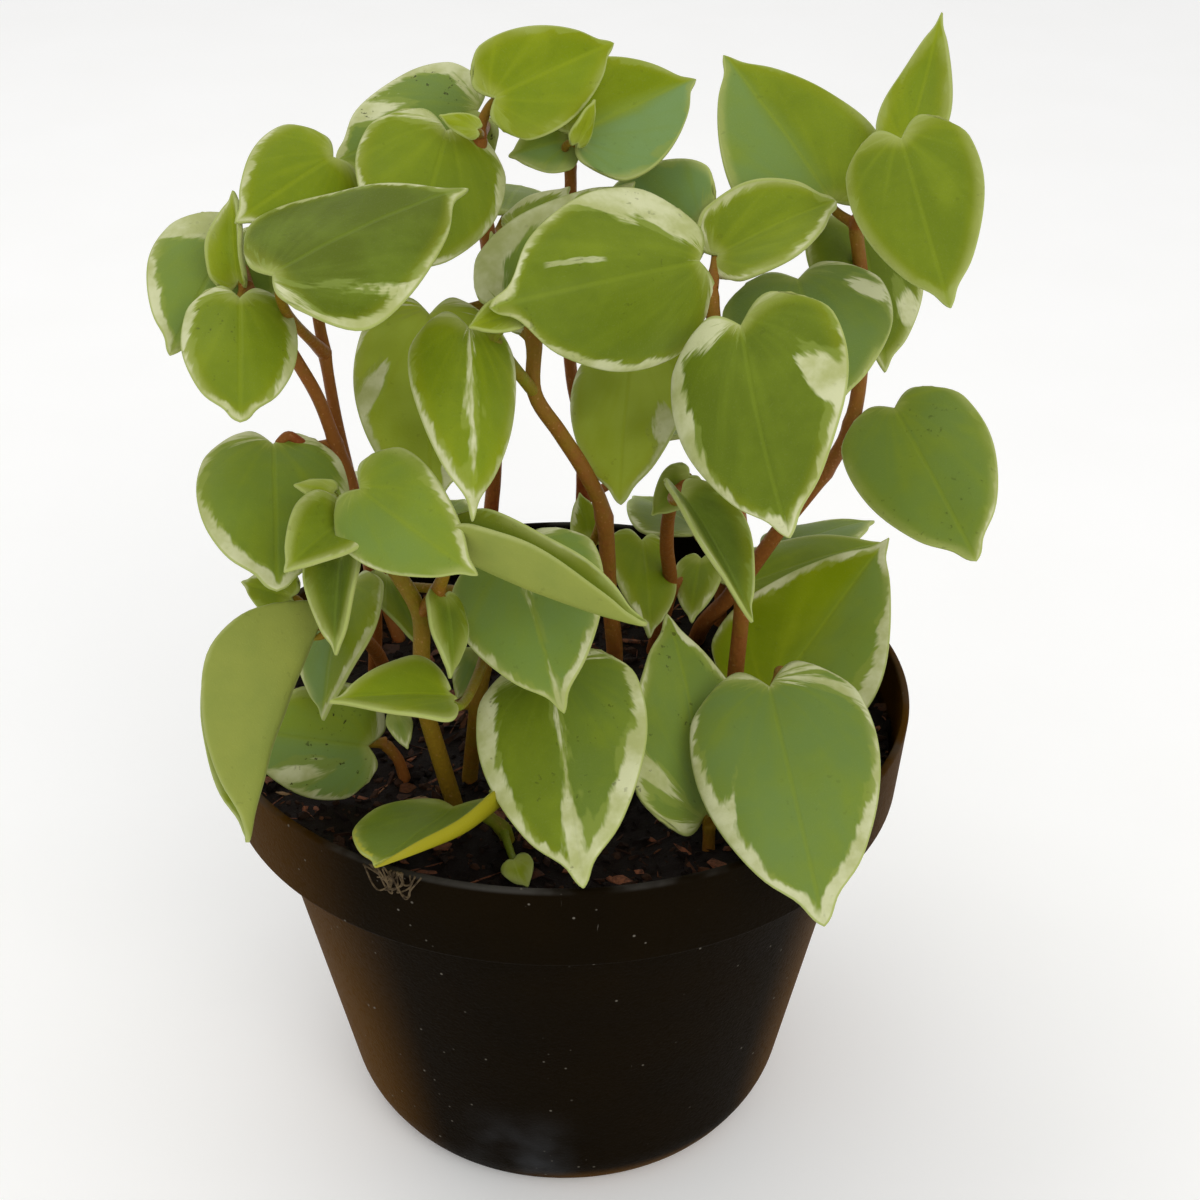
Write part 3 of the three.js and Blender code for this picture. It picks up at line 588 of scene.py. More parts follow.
class Blades:
    """Gathers the blades of one leafy stem in a mesh, with what their finish reads at each point."""

    def __init__(self):
        self.corners, self.faces = [], []
        self.fields = {"fan": [], "marks": [], "tone": [], "tear": []}

    def add(self, blade, seed):
        rows, half_columns = (16, 7) if blade["length"] < SMALL_BLADE_LENGTH else (36, 15)
        u = np.linspace(0, 1, rows)
        s = 0.45 * u + 0.55 * (0.5 - 0.5 * np.cos(math.pi * u))
        out = np.sin(np.linspace(0, math.pi / 2, half_columns))
        t = np.concatenate([-out[:0:-1], out])
        points, reach, lobe = blade_middle(blade, s, t, seed)
        dents = np.array([[noise.noise(Vector(p) / 8 + Vector((seed, 0, 0))) for p in row] for row in points])
        points[:, :, 2] += 0.3 * dents * min(1, blade["length"] / 25)
        normal = np.cross(np.gradient(points, axis=0), np.gradient(points, axis=1))
        normal /= np.linalg.norm(normal, axis=-1, keepdims=True) + 1e-9

        s, t = np.broadcast_arrays(s[:, None], t[None, :])
        margin = np.minimum((1 - np.abs(t)) * reach, s * blade["length"])
        edge = np.clip(margin / BLADE_EDGE, 0, 1)
        half = BLADE_THICKNESS / 2 * (0.3 + 0.7 * np.sqrt(1 - (1 - edge) ** 2))
        upper = points + normal * half[..., None]
        lower = points - normal * half[..., None]

        x, y = s * blade["length"] - lobe + HUB, t * reach
        radius = np.hypot(x, y)
        ray = np.arctan2(y, x) / (1 - VEIN_BEND * np.minimum(radius / VEIN_REACH, 1))
        left = smooth(-0.25, 0.25, t)
        cream, blue = (pair[0] * left + pair[1] * (1 - left)
                       for pair in (np.resize(blade["cream"], 2), np.resize(blade["blue"], 2)))
        wander = 0.75 + 0.5 * np.sin(5.1 * s + 1.9 * seed + 2.2 * np.sign(t)) * np.abs(t)
        # Little cream reaches the notch
        cream = cream * wander * smooth(-2, 7, radius) - margin
        if blade["streak"]:
            start, width = blade["streak"]
            cream = np.maximum(cream, width * smooth(start, min(1, start + 0.35), s) - np.abs(y))
        for along, aside, long, wide in blade["patches"]:
            row = int(np.argmin(np.abs(s[:, 0] - along)))
            column = int(np.argmin(np.abs(t[0] - aside)))
            off_along = (radius - radius[row, column]) / long
            off_aside = (ray - ray[row, column]) * radius / wide
            cream = np.maximum(cream, wide * (1 - np.hypot(off_along, off_aside)))

        first = len(self.corners)
        place = blade_place(blade)
        for surface, under in ((upper, 0), (lower, 1)):
            for index in np.ndindex(s.shape):
                self.corners.append(place @ Vector(surface[index]) * MM)
                self.fields["fan"].append((ray[index], radius[index], seed * 3.7))
                self.fields["marks"].append((cream[index], margin[index], under))
                self.fields["tone"].append((blade["age"], blue[index], blade["specks"]))
                self.fields["tear"].append(blade["tear"])
        count = s.size
        grid = (first + np.arange(count)).reshape(s.shape).tolist()
        for near, far in zip(grid, grid[1:]):
            for j in range(len(near) - 1):
                quad = (near[j], far[j], far[j + 1], near[j + 1])
                self.faces += [quad, tuple(corner + count for corner in reversed(quad))]
        border = [row[0] for row in grid] + grid[-1][1:]
        border += [row[-1] for row in grid[-2::-1]] + grid[0][-2:0:-1]
        for a, b in zip(border, border[1:] + border[:1]):
            self.faces.append((b, a, a + count, b + count))

    def to_mesh(self, name, material):
        mesh = bpy.data.meshes.new(name)
        mesh.from_pydata(self.corners, [], self.faces)
        for key, rows in self.fields.items():
            field = mesh.attributes.new(key, "FLOAT_VECTOR", "POINT")
            field.data.foreach_set("vector", np.array(rows, np.float32).ravel())
        mesh.materials.append(material)
        mesh.shade_smooth()
        return mesh


# Green flesh under clear wax. The cream has lost its green in teeth that run along the veins, and a
# paler green lies between it and the full green. Young leaves are yellower, and the undersides paler.
VEIN_RAYS = (0.55, 1.1, 1.75)

wax = Finish("leaf_wax", Specular_IOR_Level=0.1, Coat_Roughness=0.3, Coat_Weight=0.02)
ray, radius_mm, leaf_number = wax.parts(wax.attribute("fan"))
cream_mm, margin_mm, under = wax.parts(wax.attribute("marks"))
age, blue, specks = wax.parts(wax.attribute("tone"))
tear_ray, tear_start, tear_end = wax.parts(wax.attribute("tear"))


def vein_grain(across, along, shift, detail, roughness=0.6):
    """Noise that is drawn out along the veins."""
    fan = wax.vector(ray * across, radius_mm * along, leaf_number + shift)
    return wax.grain(1, detail, roughness, fan)


teeth = vein_grain(5.5, 0.09, 0, 3)
fine_teeth = vein_grain(15, 0.3, 0, 2)
between = vein_grain(3.6, 0.1, 9, 3)
streaks = vein_grain(3, 0.05, 4, 2, 0.5)
jag = ((teeth - 0.5) * 5 + (fine_teeth - 0.5) * 1.4) * (cream_mm + margin_mm).rise(0.1, 1.1)
pale_share = (cream_mm + jag).rise(-0.35, 0.5)
middle_share = (cream_mm + (between - 0.5) * 8 + 0.4).rise(-0.3, 0.4)

mottle = wax.grain(0.12, 4, 0.6)
clouds = wax.grain(0.06)
powder = wax.grain(3.2, 2, 0.6).rise(0.5, 0.9)
spot = wax.grain(0.9, 2, 0.6).rise(0.62, 0.72) * wax.grain(0.14, 1).rise(0.5, 0.62)
soft_rim = margin_mm.rise(2.2, 0.2) * wax.grain(0.09, 1).rise(0.36, 0.6)
yellowing = (0 - specks).most(0)
light_green = wax.layers("95a314", ("738829", age.most(blue)))
pale_green = wax.layers(light_green, ("929f54", 0.5))
green = wax.layers(
    "809302",
    ("505f06", age),
    # Leaves below age 0 get a paler yellow-green, painted sunlight for leaves in shade
    ("a9b93c", (0 - age).most(0)),
    # A painted sheen that lightens one half of a leaf, partly its own bluish tint
    ("739054", blue),
    ("55680c", clouds.rise(0.42, 0.66) * 0.4 * (1 - blue)),
    (light_green, streaks.rise(0.45, 0.75) * 0.3 + mottle.rise(0.35, 0.75) * 0.35),
    ("92980c", margin_mm.rise(3.5, 0.4) * 0.4 * (1 - blue)),
    (pale_green, middle_share * 0.6),
    ("a6ae66", soft_rim * 0.6))
cream = wax.layers("aeb474", ("d0d3a6", mottle.rise(0.35, 0.65)), ("b5b430", yellowing))

# Veins are faint pale lines that fade out towards the margin. Their rays bend as the blades' own do
vein_gap = abs(ray)
for angle in VEIN_RAYS:
    vein_gap = vein_gap.least(abs(abs(ray) - angle))
spread = (1 - radius_mm.least(VEIN_REACH) * (VEIN_BEND / VEIN_REACH)) * radius_mm
vein = (vein_gap * spread).rise(0.5, 0.06) * radius_mm.rise(24, 6)
midrib = (abs(ray) * spread).rise(0.55, 0.1)

# A tear has cream edges round a slit painted dark, the shade inside the crack
torn_mm = abs(abs(ray - tear_ray) * spread + (fine_teeth - 0.5) * 1.2)
torn = radius_mm.rise(tear_start - 0.6, tear_start + 0.8) * radius_mm.rise(tear_end + 0.6, tear_end - 0.8)
torn = torn * tear_end.rise(0.5, 1)

underside = wax.layers(
    "999f48",
    ("7e8c40", mottle),
    ("b4ba7a", pale_share * 0.6 + midrib * 0.3),
    ("98900c", yellowing))
wax.surface(green, [
    (cream, pale_share),
    (light_green, (vein * 0.12).most(midrib * 0.3) * (1 - pale_share)),
    ("a3ac58", radius_mm.rise(3.2, 0.4) * 0.4),
    ("a4b05e", margin_mm.rise(0.42, 0.1) * 0.85),
    (cream, torn * torn_mm.rise(0.6, 0.3) * 0.6),
    # The slit is painted dark, the shade inside the crack
    ("3a3606", torn * torn_mm.rise(0.2, 0.08) * teeth.rise(0.4, 0.55)),
    (underside, under),
    ("33340f", (spot * specks.most(0)).least(1)),
    ("c9d09a", powder * 0.05),
], 0.36 + mottle * 0.16 + under * 0.12, mottle * 0.6 + powder * 0.1 - midrib * 0.2, 0.3 * MM)


# The stems and petioles: round and fleshy, swollen where each leaf springs, red-brown to ochre with the
# petioles greener. A mesh line holds each one's path with its thickness and ripeness at every point,
# and Geometry Nodes turn the lines into closed tubes.
PETIOLE_RADIUS = 0.9
PETIOLE_END = 0.05
PETIOLE_SWING = 6
PETIOLE_POINTS = 14
SLIMMER = 0.74
SWELL = 0.22
SWELL_LENGTH = 1.6
STEM_SUNK = 9
STEP_POINTS = 6
TUBE_SIDES = 14
SOIL_MM = SOIL_TOP / MM

rind = Finish("stem_skin", Specular_IOR_Level=0.12)
stem_mottle = rind.grain(0.35, 3, 0.6)
ripeness = rind.attribute("ripeness", "Fac") + (stem_mottle - 0.5) * 0.35
rind.surface("76851f", [
    ("836619", ripeness.rise(0.1, 0.5)),
    ("8a5424", ripeness.rise(0.5, 0.8)),
    ("84381c", ripeness.rise(0.85, 1.1)),
    ("b98a5a", rind.grain(1.7, 1).rise(0.66, 0.74) * 0.35),
], 0.38 + stem_mottle * 0.15, rind.grain(1.1, 3, 0.6), 0.25 * MM)

skin = Grove("stem_skin", Sides=TUBE_SIDES)
path = skin.node("GeometryNodeMeshToCurve", {0: skin.start})
ring = skin.node("GeometryNodeCurvePrimitiveCircle", {"Resolution": skin.start.outputs["Sides"], "Radius": 1})
thickness = skin.node("GeometryNodeInputNamedAttribute", {"Name": "thickness"}, data_type="FLOAT")
tube = skin.node("GeometryNodeCurveToMesh", {
    "Curve": path, "Profile Curve": ring, "Scale": thickness, "Fill Caps": True})
soft = skin.node("GeometryNodeSetShadeSmooth", {0: tube})
skinned = skin.node("GeometryNodeSetMaterial", {0: soft, "Material": rind.material})
skin.node("NodeGroupOutput", {0: skinned})


def through(points, steps):
    """A smooth curve through the points, with so many steps between each two of them."""
    ends = [points[0] * 2 - points[1], *points, points[-1] * 2 - points[-2]]
    path = []
    for i in range(len(points) - 1):
        p0, p1, p2, p3 = ends[i:i + 4]
        for k in range(steps + (i == len(points) - 2)):
            u = k / steps
            leave, arrive = (p2 - p0) / 2, (p3 - p1) / 2
            path.append((1 + 2 * u) * (1 - u) ** 2 * p1 + u * (1 - u) ** 2 * leave
                        + u * u * (3 - 2 * u) * p2 + u * u * (u - 1) * arrive)
    return path


def petiole_path(blade, start):
    """The petiole leaves the stem, swings under the notch and ends in the blade at its midrib."""
    place = blade_place(blade)
    middle, _, _ = blade_middle(blade | {"wave": 0}, np.array([PETIOLE_END]), np.array([-1.0, 0, 1.0]))
    x, _, z = middle[0, 1]
    end = place @ Vector((x, 0, z - 0.25))
    reach = min(0.45 * (start - end).length, PETIOLE_SWING)
    before = place @ Vector((-0.25 * reach, 0, z - 0.85 * reach))
    leave = start.lerp(before, 0.45) + Vector((0, 0, 0.12 * reach))
    steps = [k / PETIOLE_POINTS for k in range(PETIOLE_POINTS + 1)]
    return [start * (1 - u) ** 3 + leave * 3 * u * (1 - u) ** 2 + before * 3 * u * u * (1 - u) + end * u ** 3
            for u in steps]


class Lines:
    """Gathers the paths of one leafy stem, with a thickness and a ripeness at each point."""

    def __init__(self):
        self.points, self.edges, self.thickness, self.ripeness = [], [], [], []

    def add(self, path, thickness, ripeness):
        first = len(self.points)
        self.points += [point * MM for point in path]
        self.edges += [(first + i, first + i + 1) for i in range(len(path) - 1)]
        self.thickness += [radius * MM for radius in thickness]
        self.ripeness += ripeness

    def to_object(self, name):
        mesh = bpy.data.meshes.new(name)
        mesh.from_pydata(self.points, self.edges, [])
        for key in ("thickness", "ripeness"):
            mesh.attributes.new(key, "FLOAT", "POINT").data.foreach_set("value", getattr(self, key))
        thing = add_object(name, mesh)
        skin.grow_on(thing)
        return thing


def add_stem(lines, part):
    """The stem's own line, thicker at the points that leaves and branches spring from."""
    points = [Vector(point) for point in part["points"]]
    path = through(points, STEP_POINTS)
    foot, top = part["radii"]
    knots = [points[blade["spring"]] for blade in part["leaves"]]
    radii, ripe = [], []
    for i, point in enumerate(path):
        share = i / (len(path) - 1)
        swell = max((math.exp(-((point - knot).length / SWELL_LENGTH) ** 2) for knot in knots), default=0)
        radii.append((foot + (top - foot) * share) * SLIMMER * (1 + SWELL * swell))
        ripe.append(part["ripe"] * (1 - 0.25 * share))
    radii[-1] *= 0.8
    if part["points"][0][2] == SOIL_MM:
        path.insert(0, points[0] - Vector((0, 0, STEM_SUNK)))
        radii.insert(0, foot * SLIMMER)
        ripe.insert(0, part["ripe"])
    lines.add(path, radii, ripe)


def add_petiole(lines, part, blade):
    path = petiole_path(blade, Vector(part["points"][blade["spring"]]))
    radius = PETIOLE_RADIUS * (0.8 if blade["length"] < SMALL_BLADE_LENGTH else 1)
    radii, ripe = [], []
    for i in range(len(path)):
        u = i / (len(path) - 1)
        taper = radius * (1 - 0.25 * u) * (1 + 0.35 * math.exp(-(u / 0.12) ** 2))
        radii.append(taper * (1 - 0.62 * max(0, (u - 0.8) / 0.2) ** 2))
        ripe.append(part["ripe"] * (0.95 - 0.45 * u) - 0.12 * (1 - blade["age"]))
    lines.add(path, radii, ripe)


# The leafy stems, each one grown piece of stems, petioles and blades. They run roughly from the left of
# the view to its right, with the two at the back last. Places are in millimetres.
plants = []


def leafy_stem(node):
    """Starts the leafy stem that takes the place of a node. Its shoots follow, each with its leaves."""
    plants.append((node, []))


def shoot(radii, ripe, *points):
    """A stem or branch, rooted if it starts at the soil; ripe runs from 0, green, to 1, red-brown."""
    plants[-1][1].append({"radii": radii, "ripe": ripe, "points": points, "leaves": []})


def leaf(spring, notch, aim, size, shape=OPEN, taper=TAPER, **look):
    """A leaf that springs from a point of the last shoot. Left and right are as seen from the notch."""
    plants[-1][1][-1]["leaves"].append({
        "spring": spring, "notch": notch, "aim": aim, "length": size[0], "width": size[1],
        "shape": shape, "taper": taper} | LOOK | look)


leafy_stem("stem_front_left")
shoot((2, 1.6), 0.5, (-18, -26, SOIL_MM), (-20.5, -28, 88), (-22, -29, 97), (-22, -30, 106),
      (-22, -30, 114), (-25, -30, 121), (-29, -29, 127), (-33, -28, 131))
leaf(7, (-29.5, -33, 137), (-39, -17, 55), (23.5, 17.5), age=0.2, blue=(0.35, 0.55), cream=(1, 0.4))
leaf(7, (-32, -31, 131), (-127, -12, -24), (14, 13), (30, -10, 25), cream=0.6)
leaf(6, (-33, -29, 125), (-93, -41, 26), (17, 11), (28, 5, 15), age=1, cream=(0.3, 0.4))
leaf(7, (-34, -28, 134), (-178, 13, -40), (6, 3.4), (20, 0, 10), age=0, cream=0.1)
shoot((1.5, 1.3), 0.7, (-22, -30, 114), (-19, -32, 119), (-17, -36, 126))
leaf(2, (-16.5, -40, 130.5), (-18, -14, -11), (31, 17), (66, 8, -16), 0.75, age=0.8, cream=0.3)
leaf(1, (-18, -32, 118), (-84, -40, -42), (13, 8), (12, -20, 20), age=0.85, cream=0.3)

leafy_stem("stem_front_middle")
shoot((1.8, 1.4), 0.6, (-16, -18, SOIL_MM), (-14, -22, 92), (-12, -21, 102), (-10, -19, 111),
      (-8, -18, 117))
leaf(4, (-7, -22, 120), (-74, -28, 24), (29, 24.5), age=0.2, blue=(0.7, 0.6), cream=(1.5, 0.9),
     streak=(0.7, 0.7), drip=0.4)
leaf(3, (-1.5, -30, 103), (-82, -33, 17), (35.5, 27), OPEN, 0.9, age=0.62, blue=(0.3, 0.1), cream=(3.2, 3),
     streak=(0.42, 1.5), specks=0.5, drip=0.4)
leaf(2, (-16, -41, 105.5), (-160, 11, -6), (20, 17), (20, -14, 16), 1.15, age=0.25, cream=(0.25, 0.4),
     dome=(0.95, 0.3), lobe=-0.06)
leaf(1, (-27, -24, 92), (-61, -53, 20), (6, 4), blue=0.6)
leaf(2, (-14, -16, 98), (-130, -47, -36), (8, 6), blue=0.8)
leaf(3, (-29, -7, 108), (-62, -30, -18), (15, 8), age=0.8, cream=0.2)

leafy_stem("stem_left")
shoot((1.6, 1.3), 0.9, (-34, 7, SOIL_MM), (-32, 0, 100), (-34, -3, 122), (-36, -5, 131), (-38, -7, 140),
      (-41, -9, 148), (-44, -10, 155), (-47, -11, 160))
leaf(7, (-50, 3, 164), (-109, -25, -16), (26.5, 21), OPEN, 0.92, age=0.3, blue=(0.5, 0.55),
     cream=(1.2, 1.9), patches=[(0.1, -0.6, 8, 5)])
leaf(7, (-48, -11, 161), (97, 54, -30), (14, 10), (52, 8, 10), age=-0.3, cream=0.5)
leaf(7, (-47, -18, 161), (-85, -31, -7), (22, 17), (4, -30, 12), 0.7, age=0.4, cream=(1.4, 1.7),
     specks=0.5)
leaf(3, (-45.6, -8, 132.6), (-84, -24, -8), (29, 24), (6, -30, 16), 0.7, age=0.35, blue=(0.4, 0.3),
     cream=(1.8, 2.6))
shoot((1.3, 1.2), 0.85, (-34, -3, 122), (-36, -2, 134), (-37, -3, 146), (-38, 0, 154), (-37, 4, 164),
      (-36, 6, 171))
leaf(5, (-34.5, 5, 175), (-131, -14, -46), (21, 18.5), (-4, -26, 14), age=0.1, cream=(0.7, 0.9))
leaf(2, (-40.7, -26, 167.4), (32, 12, 14), (33, 32), (0, -22, 16), age=0.9, blue=0, cream=(1.3, 1.5),
     patches=[(0.4, -0.92, 8, 1.2)], drip=0.5, dome=(0.75, 0.2), lobe=0.045)
shoot((1.2, 1), 1, (-41.2, -6.4, 131.8), (-43.2, -6.8, 133.5), (-45, -7.4, 132.2))

leafy_stem("stem_left_low")
shoot((1.7, 1.4), 0.9, (-30, 7, SOIL_MM), (-32, -4, 92), (-36, -14, 102), (-40, -22, 108))
leaf(3, (-38, -30, 111.5), (-107, -33, 70), (35.5, 30), (62, 14, 12), 0.93, age=0.3, cream=0.4,
     dome=(0.9, 0.34))
leaf(3, (-43, -19, 111), (158, 6, -55), (9, 8), age=0.3, cream=0.6)
leaf(2, (-35, -11, 108), (-98, -31, 33), (24, 18), (10, -18, 12), age=0.2, blue=(0.1, 0.9),
     cream=(1.2, 0.8))

leafy_stem("leaf_low_left")
shoot((1.4, 1.2), 0.85, (-27, -17, SOIL_MM), (-28, -17, 78.5), (-30, -17, 81.5))
leaf(2, (-32.5, -19.5, 82.8), (-164, 20, -72), (24, 20), (8, -20, 16), 0.9, age=-0.2, blue=(0.8, 0.3),
     cream=(0.9, 1.4), specks=1, patches=[(0.5, 0.7, 6, 2)])

leafy_stem("stem_rim_front")
shoot((1.6, 1.3), 0.3, (-9, -36, SOIL_MM), (-10, -36.5, 78), (-13, -36.5, 81))
leaf(2, (-17.5, -37, 82.5), (-115, 13, 17), (25.5, 27), (7, -4, -6), blue=0.3, cream=(0.6, 0.8),
     specks=-0.9, rolled=(1, 0.62, 95), tear=(0.9, 11, 19))
leaf(1, (-8, -45.5, 78.5), (-60, -30, 20), (5, 5), age=0.1, cream=0)

leafy_stem("stem_back_left")
shoot((1.9, 1.5), 0.95, (-14, 43, SOIL_MM), (-13, 30, 99), (-12, 26, 110), (-11, 20, 128), (-11, 15, 147),
      (-11.5, 11, 161), (-12, 8, 172), (-12, 6, 178))
leaf(7, (-12.7, 19, 178), (185, -18, -38), (24, 25), (6, -26, 14), 0.75, age=0.55, blue=(0.3, 0.5),
     cream=(0.8, 2.8), specks=0.9, patches=[(0.74, -0.8, 6, 2.6)])
leaf(7, (-17, 5, 179), (-109, -42, -32), (25.5, 24.5), (-4, -26, 14), 0.9, age=0.4, cream=(1.7, 2.2))
leaf(7, (-9.5, 5, 184), (31, 14, 52), (22, 17), (10, -20, 12), 0.9, age=0.15, blue=(0, 0.1),
     cream=0.25)
leaf(7, (-12, -1, 181), (176, 19, -62), (6, 3.4), age=0, cream=0.2)
leaf(4, (-21, 8, 148), (-89, -42, -2), (32.5, 24.5), (6, -26, 14), 0.68, age=-1, cream=(1.2, 1.6),
     patches=[(0.45, -0.85, 6, 2.4), (0.85, 0.6, 5, 2)])
leaf(5, (-9, 22, 160), (84, -8, 10), (25, 20), age=0.6)
leaf(3, (-18, 33, 126), (128, -20, -8), (27, 22), age=0.7, cream=(1.6, 1))

leafy_stem("stem_back_middle")
shoot((1.6, 1.3), 1.0, (7, 42, SOIL_MM), (4, 30, 103), (4, 26, 118), (2, 22, 131), (1, 19, 151),
      (2, 18, 164), (2, 15.5, 171))
leaf(6, (3, 10, 176.5), (31, 14, 36), (23, 23), (12, -10, 12), age=0.35, blue=(0, 1), cream=0.25)
leaf(6, (3, 5, 177), (33, 62, 85), (7, 3.4), age=0, cream=0.1)
leaf(6, (2, 12, 175.3), (-178, -14, -50), (10, 9.5), age=0.6, blue=(0.8, 0.3), cream=0.3)
leaf(2, (12.4, 14.5, 139), (-97, -37, 17), (29, 21), (8, -24, 14), 0.85, age=-1, cream=(1, 0.7),
     patches=[(0.55, 0.75, 4, 2.4)])
leaf(4, (8, 29, 148), (62, 2, 6), (27, 21), age=0.55, cream=(1.4, 0.8))
leaf(1, (15, 40, 110), (80, -16, -12), (25, 20), age=0.7, cream=(0.8, 1.9))

leafy_stem("stem_centre")
shoot((2, 1.5), 0.75, (9, 9, SOIL_MM), (9, 2, 88), (8, 0, 100), (7, -4, 117), (4, -6, 126), (0, -8, 134),
      (-4, -10, 142), (-4, -8, 150), (-6, -4, 157))
leaf(8, (-6, 6, 163), (46, 19, 6), (12, 10), age=0.3, cream=2.6)
leaf(8, (-8, -3, 154), (30, 34, 40), (28, 19), age=0.3, blue=(0.5, 0.3), cream=(4.2, 2))
leaf(7, (-8, -2, 153), (107, 45, 4), (13, 7), age=0.3, cream=(2.2, 1.6), streak=(0, 0.6))
leaf(3, (5, 5, 108), (105, 37, 1), (9, 6), age=0.4)
shoot((1.4, 1.2), 0.35, (-4, -10, 142), (-7, -14, 148), (-10, -18, 154.5))
leaf(2, (-6, -22, 160.2), (-154, -8, -47), (8, 6), (24, 0, 10), age=0, cream=0.1)
leaf(2, (-13.5, -19, 156.5), (-88, -38, -17), (31.5, 18.5), (-16, -26, 14), 1.14, age=0.2,
     cream=(1.4, 1.2), streak=(0.12, 0.3), drip=0.45)

leafy_stem("stem_centre_right")
shoot((1.9, 1.4), 0.95, (17, 24, SOIL_MM), (19, 12, 94), (18, 6, 106), (18, 1, 115), (19, -5, 122))
leaf(4, (19, -14, 126), (-63, -29, -18), (25, 14), (34, -8, 14), age=1.1, cream=(0.3, 0.4))
leaf(4, (21, -3, 124), (-155, -40, -52), (9, 7), age=0.9, cream=0.2)
leaf(1, (14, 14, 103), (-87, -34, -29), (19, 14), age=0.35, cream=(0.8, 1))
leaf(1, (25, 18, 97), (-101, -25, 13), (14, 9), age=0.4, cream=0.8)

leafy_stem("stem_right")
shoot((2, 1.5), 0.8, (29, -5, SOIL_MM), (29.5, -6, 88), (30, -7, 102), (29, -10, 117), (26, -12, 135),
      (24, -12, 150), (23, -10, 159))
leaf(6, (21, -12, 164), (-154, -2, -64), (34.5, 32), (-22, -20, 30), 0.85, age=0.6, cream=(1.4, 2.8),
     patches=[(0.12, -0.6, 7, 4), (0.35, -0.82, 8, 3)], specks=0.3, drip=0.5, tear=(-0.25, 17, 26))
leaf(6, (24.5, -3, 161.5), (10, 22, 30), (20, 17.5), (26, -18, 14), 0.7, age=0.35, cream=1.3,
     rolled=(1, 0.8, 60))
leaf(6, (22, 4, 164), (136, -3, -64), (22, 19.5), OPEN, 0.95, blue=0.9, cream=0.5)
leaf(5, (26.5, -24, 158.5), (-76, -44, 44), (33, 29.5), (6, -28, 14), 0.91, age=0.75, cream=(1, 3.2),
     patches=[(0.42, 0.85, 6, 3)])

leafy_stem("stem_far_right")
shoot((2.1, 1.5), 0.85, (25, 27, SOIL_MM), (26, 18, 84), (31, 14, 93), (38, 12, 106), (45, 10, 118),
      (49, 10, 127), (50, 10, 139), (49, 9, 152), (47, 7, 163))
leaf(8, (43, 8, 166.5), (129, 35, -22), (31, 26), (8, -14, 12), age=0.35, blue=(0.7, 0.1),
     cream=0.25)
leaf(8, (54.5, 7, 176), (65, 50, -9), (22, 11.5), (16, -6, -10), 1.19, age=0.1, cream=0.2)
leaf(8, (50.5, -9, 181.5), (-72, -46, 32), (27, 20), (4, -28, 12), 0.92, cream=0.15)
leaf(7, (49, 16, 159), (-84, -36, -14), (27, 20.5), age=0.7, cream=(0.8, 0.6),
     patches=[(0.6, 0.8, 4, 2.4)])
leaf(7, (37.5, 0, 156.5), (-83, -24, 11), (28, 26.5), (6, -26, 14), 0.92, age=0.7, blue=(0.55, 0.5),
     cream=(0.9, 0.5), patches=[(0.2, 0.75, 3, 2)])
leaf(5, (55, 4, 132.5), (-70, -26, 26), (32, 23.5), (6, -22, 14), 0.8, age=0.4, blue=0.45,
     cream=(0.5, 0.15), specks=0.4, lobe=0.07)
leaf(4, (37, 22, 124), (80, -14, 4), (27, 21), age=0.6, cream=(1.2, 1.4))
leaf(2, (33.5, 23, 88.5), (25, 3, 1), (30.5, 23), OPEN, 0.94, age=0.4, cream=(0.9, 1.1))

leafy_stem("stem_right_low")
shoot((1.8, 1.4), 0.7, (42, -8, SOIL_MM), (40, -11, 84), (36, -16, 94))
leaf(2, (33, -26, 97.5), (-83, -22, 13), (43.5, 29.5), (4, -24, 14), 0.85, age=0.45, blue=0.6,
     cream=(2.6, 2.2), patches=[(0.12, 0.85, 9, 1.4), (0.6, -0.9, 5, 1.2)])
leaf(1, (37, 0, 79), (45, 32, 13), (37, 31), (12, -16, 10), 1.15, age=0.1, blue=(0, 0.5), cream=(1.7, 2.8))

leafy_stem("leaf_front")
shoot((1.4, 1.2), 0.7, (23, -38, SOIL_MM), (23, -38, 77), (23, -38, 79.5))
leaf(2, (22.5, -36.5, 80), (101, 38, 24), (35, 27), (10, -16, 14), age=0.4, blue=0.45,
     cream=1.3, patches=[(0.2, 0.7, 5, 2)], specks=0.6)

leafy_stem("stem_back_right")
shoot((1.7, 1.4), 0.9, (30, 33, SOIL_MM), (31, 38, 90), (34, 42, 101), (36, 45, 111))
leaf(3, (36, 48, 114), (96, -18, 4), (26, 21), cream=(1.8, 1.1))
leaf(1, (42, 38, 88), (30, 0, -8), (22, 18), age=0.7, blue=(0.3, 0.5))
leaf(1, (26, 42, 90), (118, -8, 10), (25, 20), age=0.6, cream=(0.8, 1.6))

leafy_stem("stem_back_low")
shoot((1.7, 1.4), 0.9, (-31, 29, SOIL_MM), (-35, 33, 86), (-37, 37, 94))
leaf(2, (-36, 42, 98), (104, -16, -6), (28, 23), age=0.45, cream=(1.2, 1.9), streak=(0.4, 1))
leaf(2, (-44, 35, 97), (166, -6, 8), (24, 20), age=0.6, blue=(0.4, 0.2))
leaf(1, (-28, 42, 88), (70, -6, 6), (25, 20), age=0.7, cream=(0.8, 1))


def join(pieces):
    """Makes one piece of several, under the name of the first."""
    first = pieces[0]
    with bpy.context.temp_override(active_object=first, object=first, selected_editable_objects=pieces):
        bpy.ops.object.join()


seed = 0
for node, shoots in plants:
    lines, blades = Lines(), Blades()
    for part in shoots:
        add_stem(lines, part)
        for blade in part["leaves"]:
            seed += 1
            add_petiole(lines, part, blade)
            blades.add(blade, seed)
    stems = lines.to_object(f"{node}_stems")
    grown = add_object(f"grown_{node}", blades.to_mesh(f"grown_{node}", wax.material))
    join([grown, stems])
    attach(grown, "root")
    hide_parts(node)


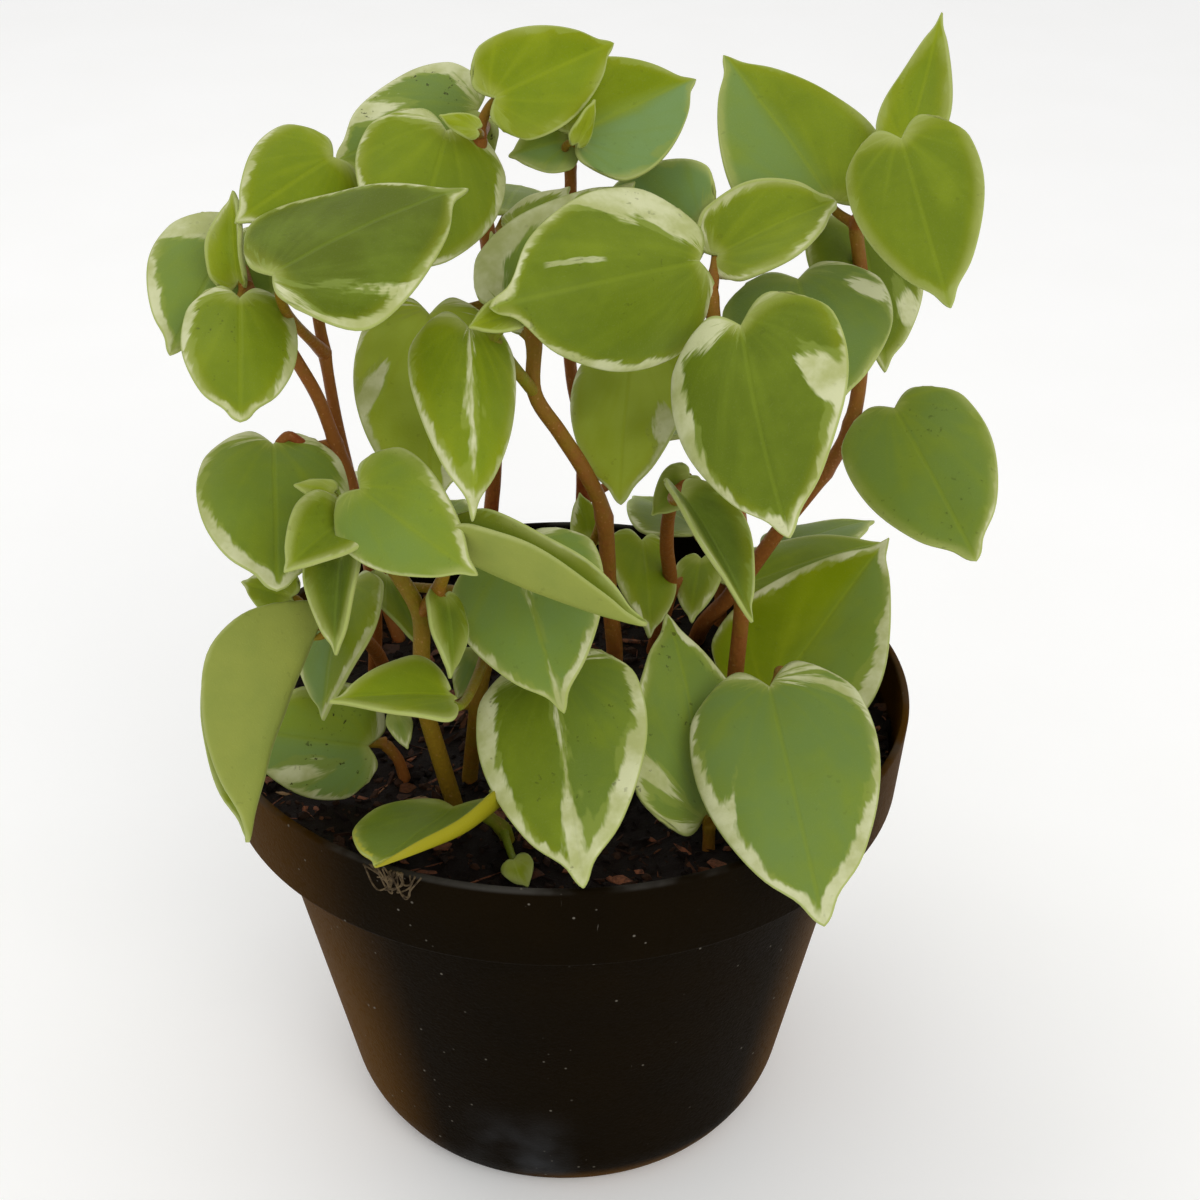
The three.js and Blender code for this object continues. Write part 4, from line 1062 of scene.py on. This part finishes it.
# A wisp of dry root hairs that has been drawn up over the rim at the front left. Its thin brown loops
# hang down the outside of the band.
WISP_PLACE = (-25.2, -54.5, 83.3)
WISP_LOOPS = 12
WISP_RADIUS = 0.14
WISP_WIDTH = 5.5
WISP_DROP = 5
WISP_SHARES = (0, 0.3, 0.55, 0.8, 1)


def repeatable(seed):
    """A run of random numbers from 0 to 1 that is the same each time."""
    state = seed
    while True:
        state = (state * 1664525 + 1013904223) % 4294967296
        yield state / 4294967296


root_skin = Finish("root_hairs", Specular_IOR_Level=0.1)
wisp_tone = root_skin.grain(0.8)
root_skin.surface("302619", [("5e503a", wisp_tone.rise(0.3, 0.7))], 0.7 + wisp_tone * 0.2)

draw = repeatable(17)
hairs = Lines()
middle = Vector(WISP_PLACE)
outward = Vector((middle.x, middle.y, 0)).normalized()
sideways = Vector((-outward.y, outward.x, 0))
for _ in range(WISP_LOOPS):
    spread = next(draw) - 0.5
    drop = WISP_DROP * (0.35 + 0.65 * next(draw))
    bends = []
    for share in WISP_SHARES:
        across = WISP_WIDTH * (spread + 0.75 * (share - 0.5) + 0.35 * (next(draw) - 0.5))
        depth = 0.5 - drop * math.sin(math.pi * share)
        bends.append(middle + sideways * across + outward * (0.5 + 0.5 * next(draw)) + Vector((0, 0, depth)))
    path = through(bends, 5)
    hairs.add(path, [WISP_RADIUS] * len(path), [0.5] * len(path))
root_wisp = hairs.to_object("root_wisp")
root_wisp.data.materials.clear()
root_wisp.data.materials.append(root_skin.material)
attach(root_wisp, "root")
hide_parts("soil")


# Bark chips: flat split pieces of pine bark that lie half sunk in the mix, clear of the stems. They are
# placed by the same run of random numbers as those of the packed soil.
CHIPS = 10
CHIP_SIZE = (9.2, 5.4, 2.56)
CHIP_FIELD = 51
CHIP_CLEARANCE = 9

roots = [Vector(shoots[0]["points"][0]) for _, shoots in plants]
draw = repeatable(5)
chips = []
while len(chips) < CHIPS:
    radius = CHIP_FIELD * math.sqrt(next(draw))
    angle = 2 * math.pi * next(draw)
    x, y = radius * math.cos(angle), radius * math.sin(angle)
    size, turn, tilt = 0.6 + 0.6 * next(draw), math.pi * next(draw), 0.3 * (next(draw) - 0.5)
    if any(math.hypot(root.x - x, root.y - y) < CHIP_CLEARANCE for root in roots):
        continue
    sides = [side * size * MM for side in CHIP_SIZE]
    chip = lump(f"chip_{len(chips)}", 40 + len(chips), sides, 3, 1.1, scene.collection)
    place = Matrix.Translation(Vector((x, y, SOIL_MM + 0.6)) * MM)
    chip.data.transform(place @ Matrix.Rotation(turn, 4, "Z") @ Matrix.Rotation(tilt, 4, "X"))
    chips.append(chip)

bark = Finish("bark", Specular_IOR_Level=0.3)
bark_grain = bark.grain(0.6, 4, 0.7)
bark.surface("2a1710", [
    ("6d3d26", bark_grain.rise(0.35, 0.7)),
    ("8e5c3e", bark.grain(1.5).rise(0.6, 0.75) * 0.6),
], 0.7 + bark_grain * 0.2, bark_grain, 0.6 * MM)
for chip in chips:
    chip.data.materials.append(bark.material)
bark_chips = chips[0]
join(chips)
bark_chips.name = "bark_chips"
for piece in (potting_mix, peat_crumbs, bark_flakes, bark_chips):
    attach(piece, "root")
    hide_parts("soil")
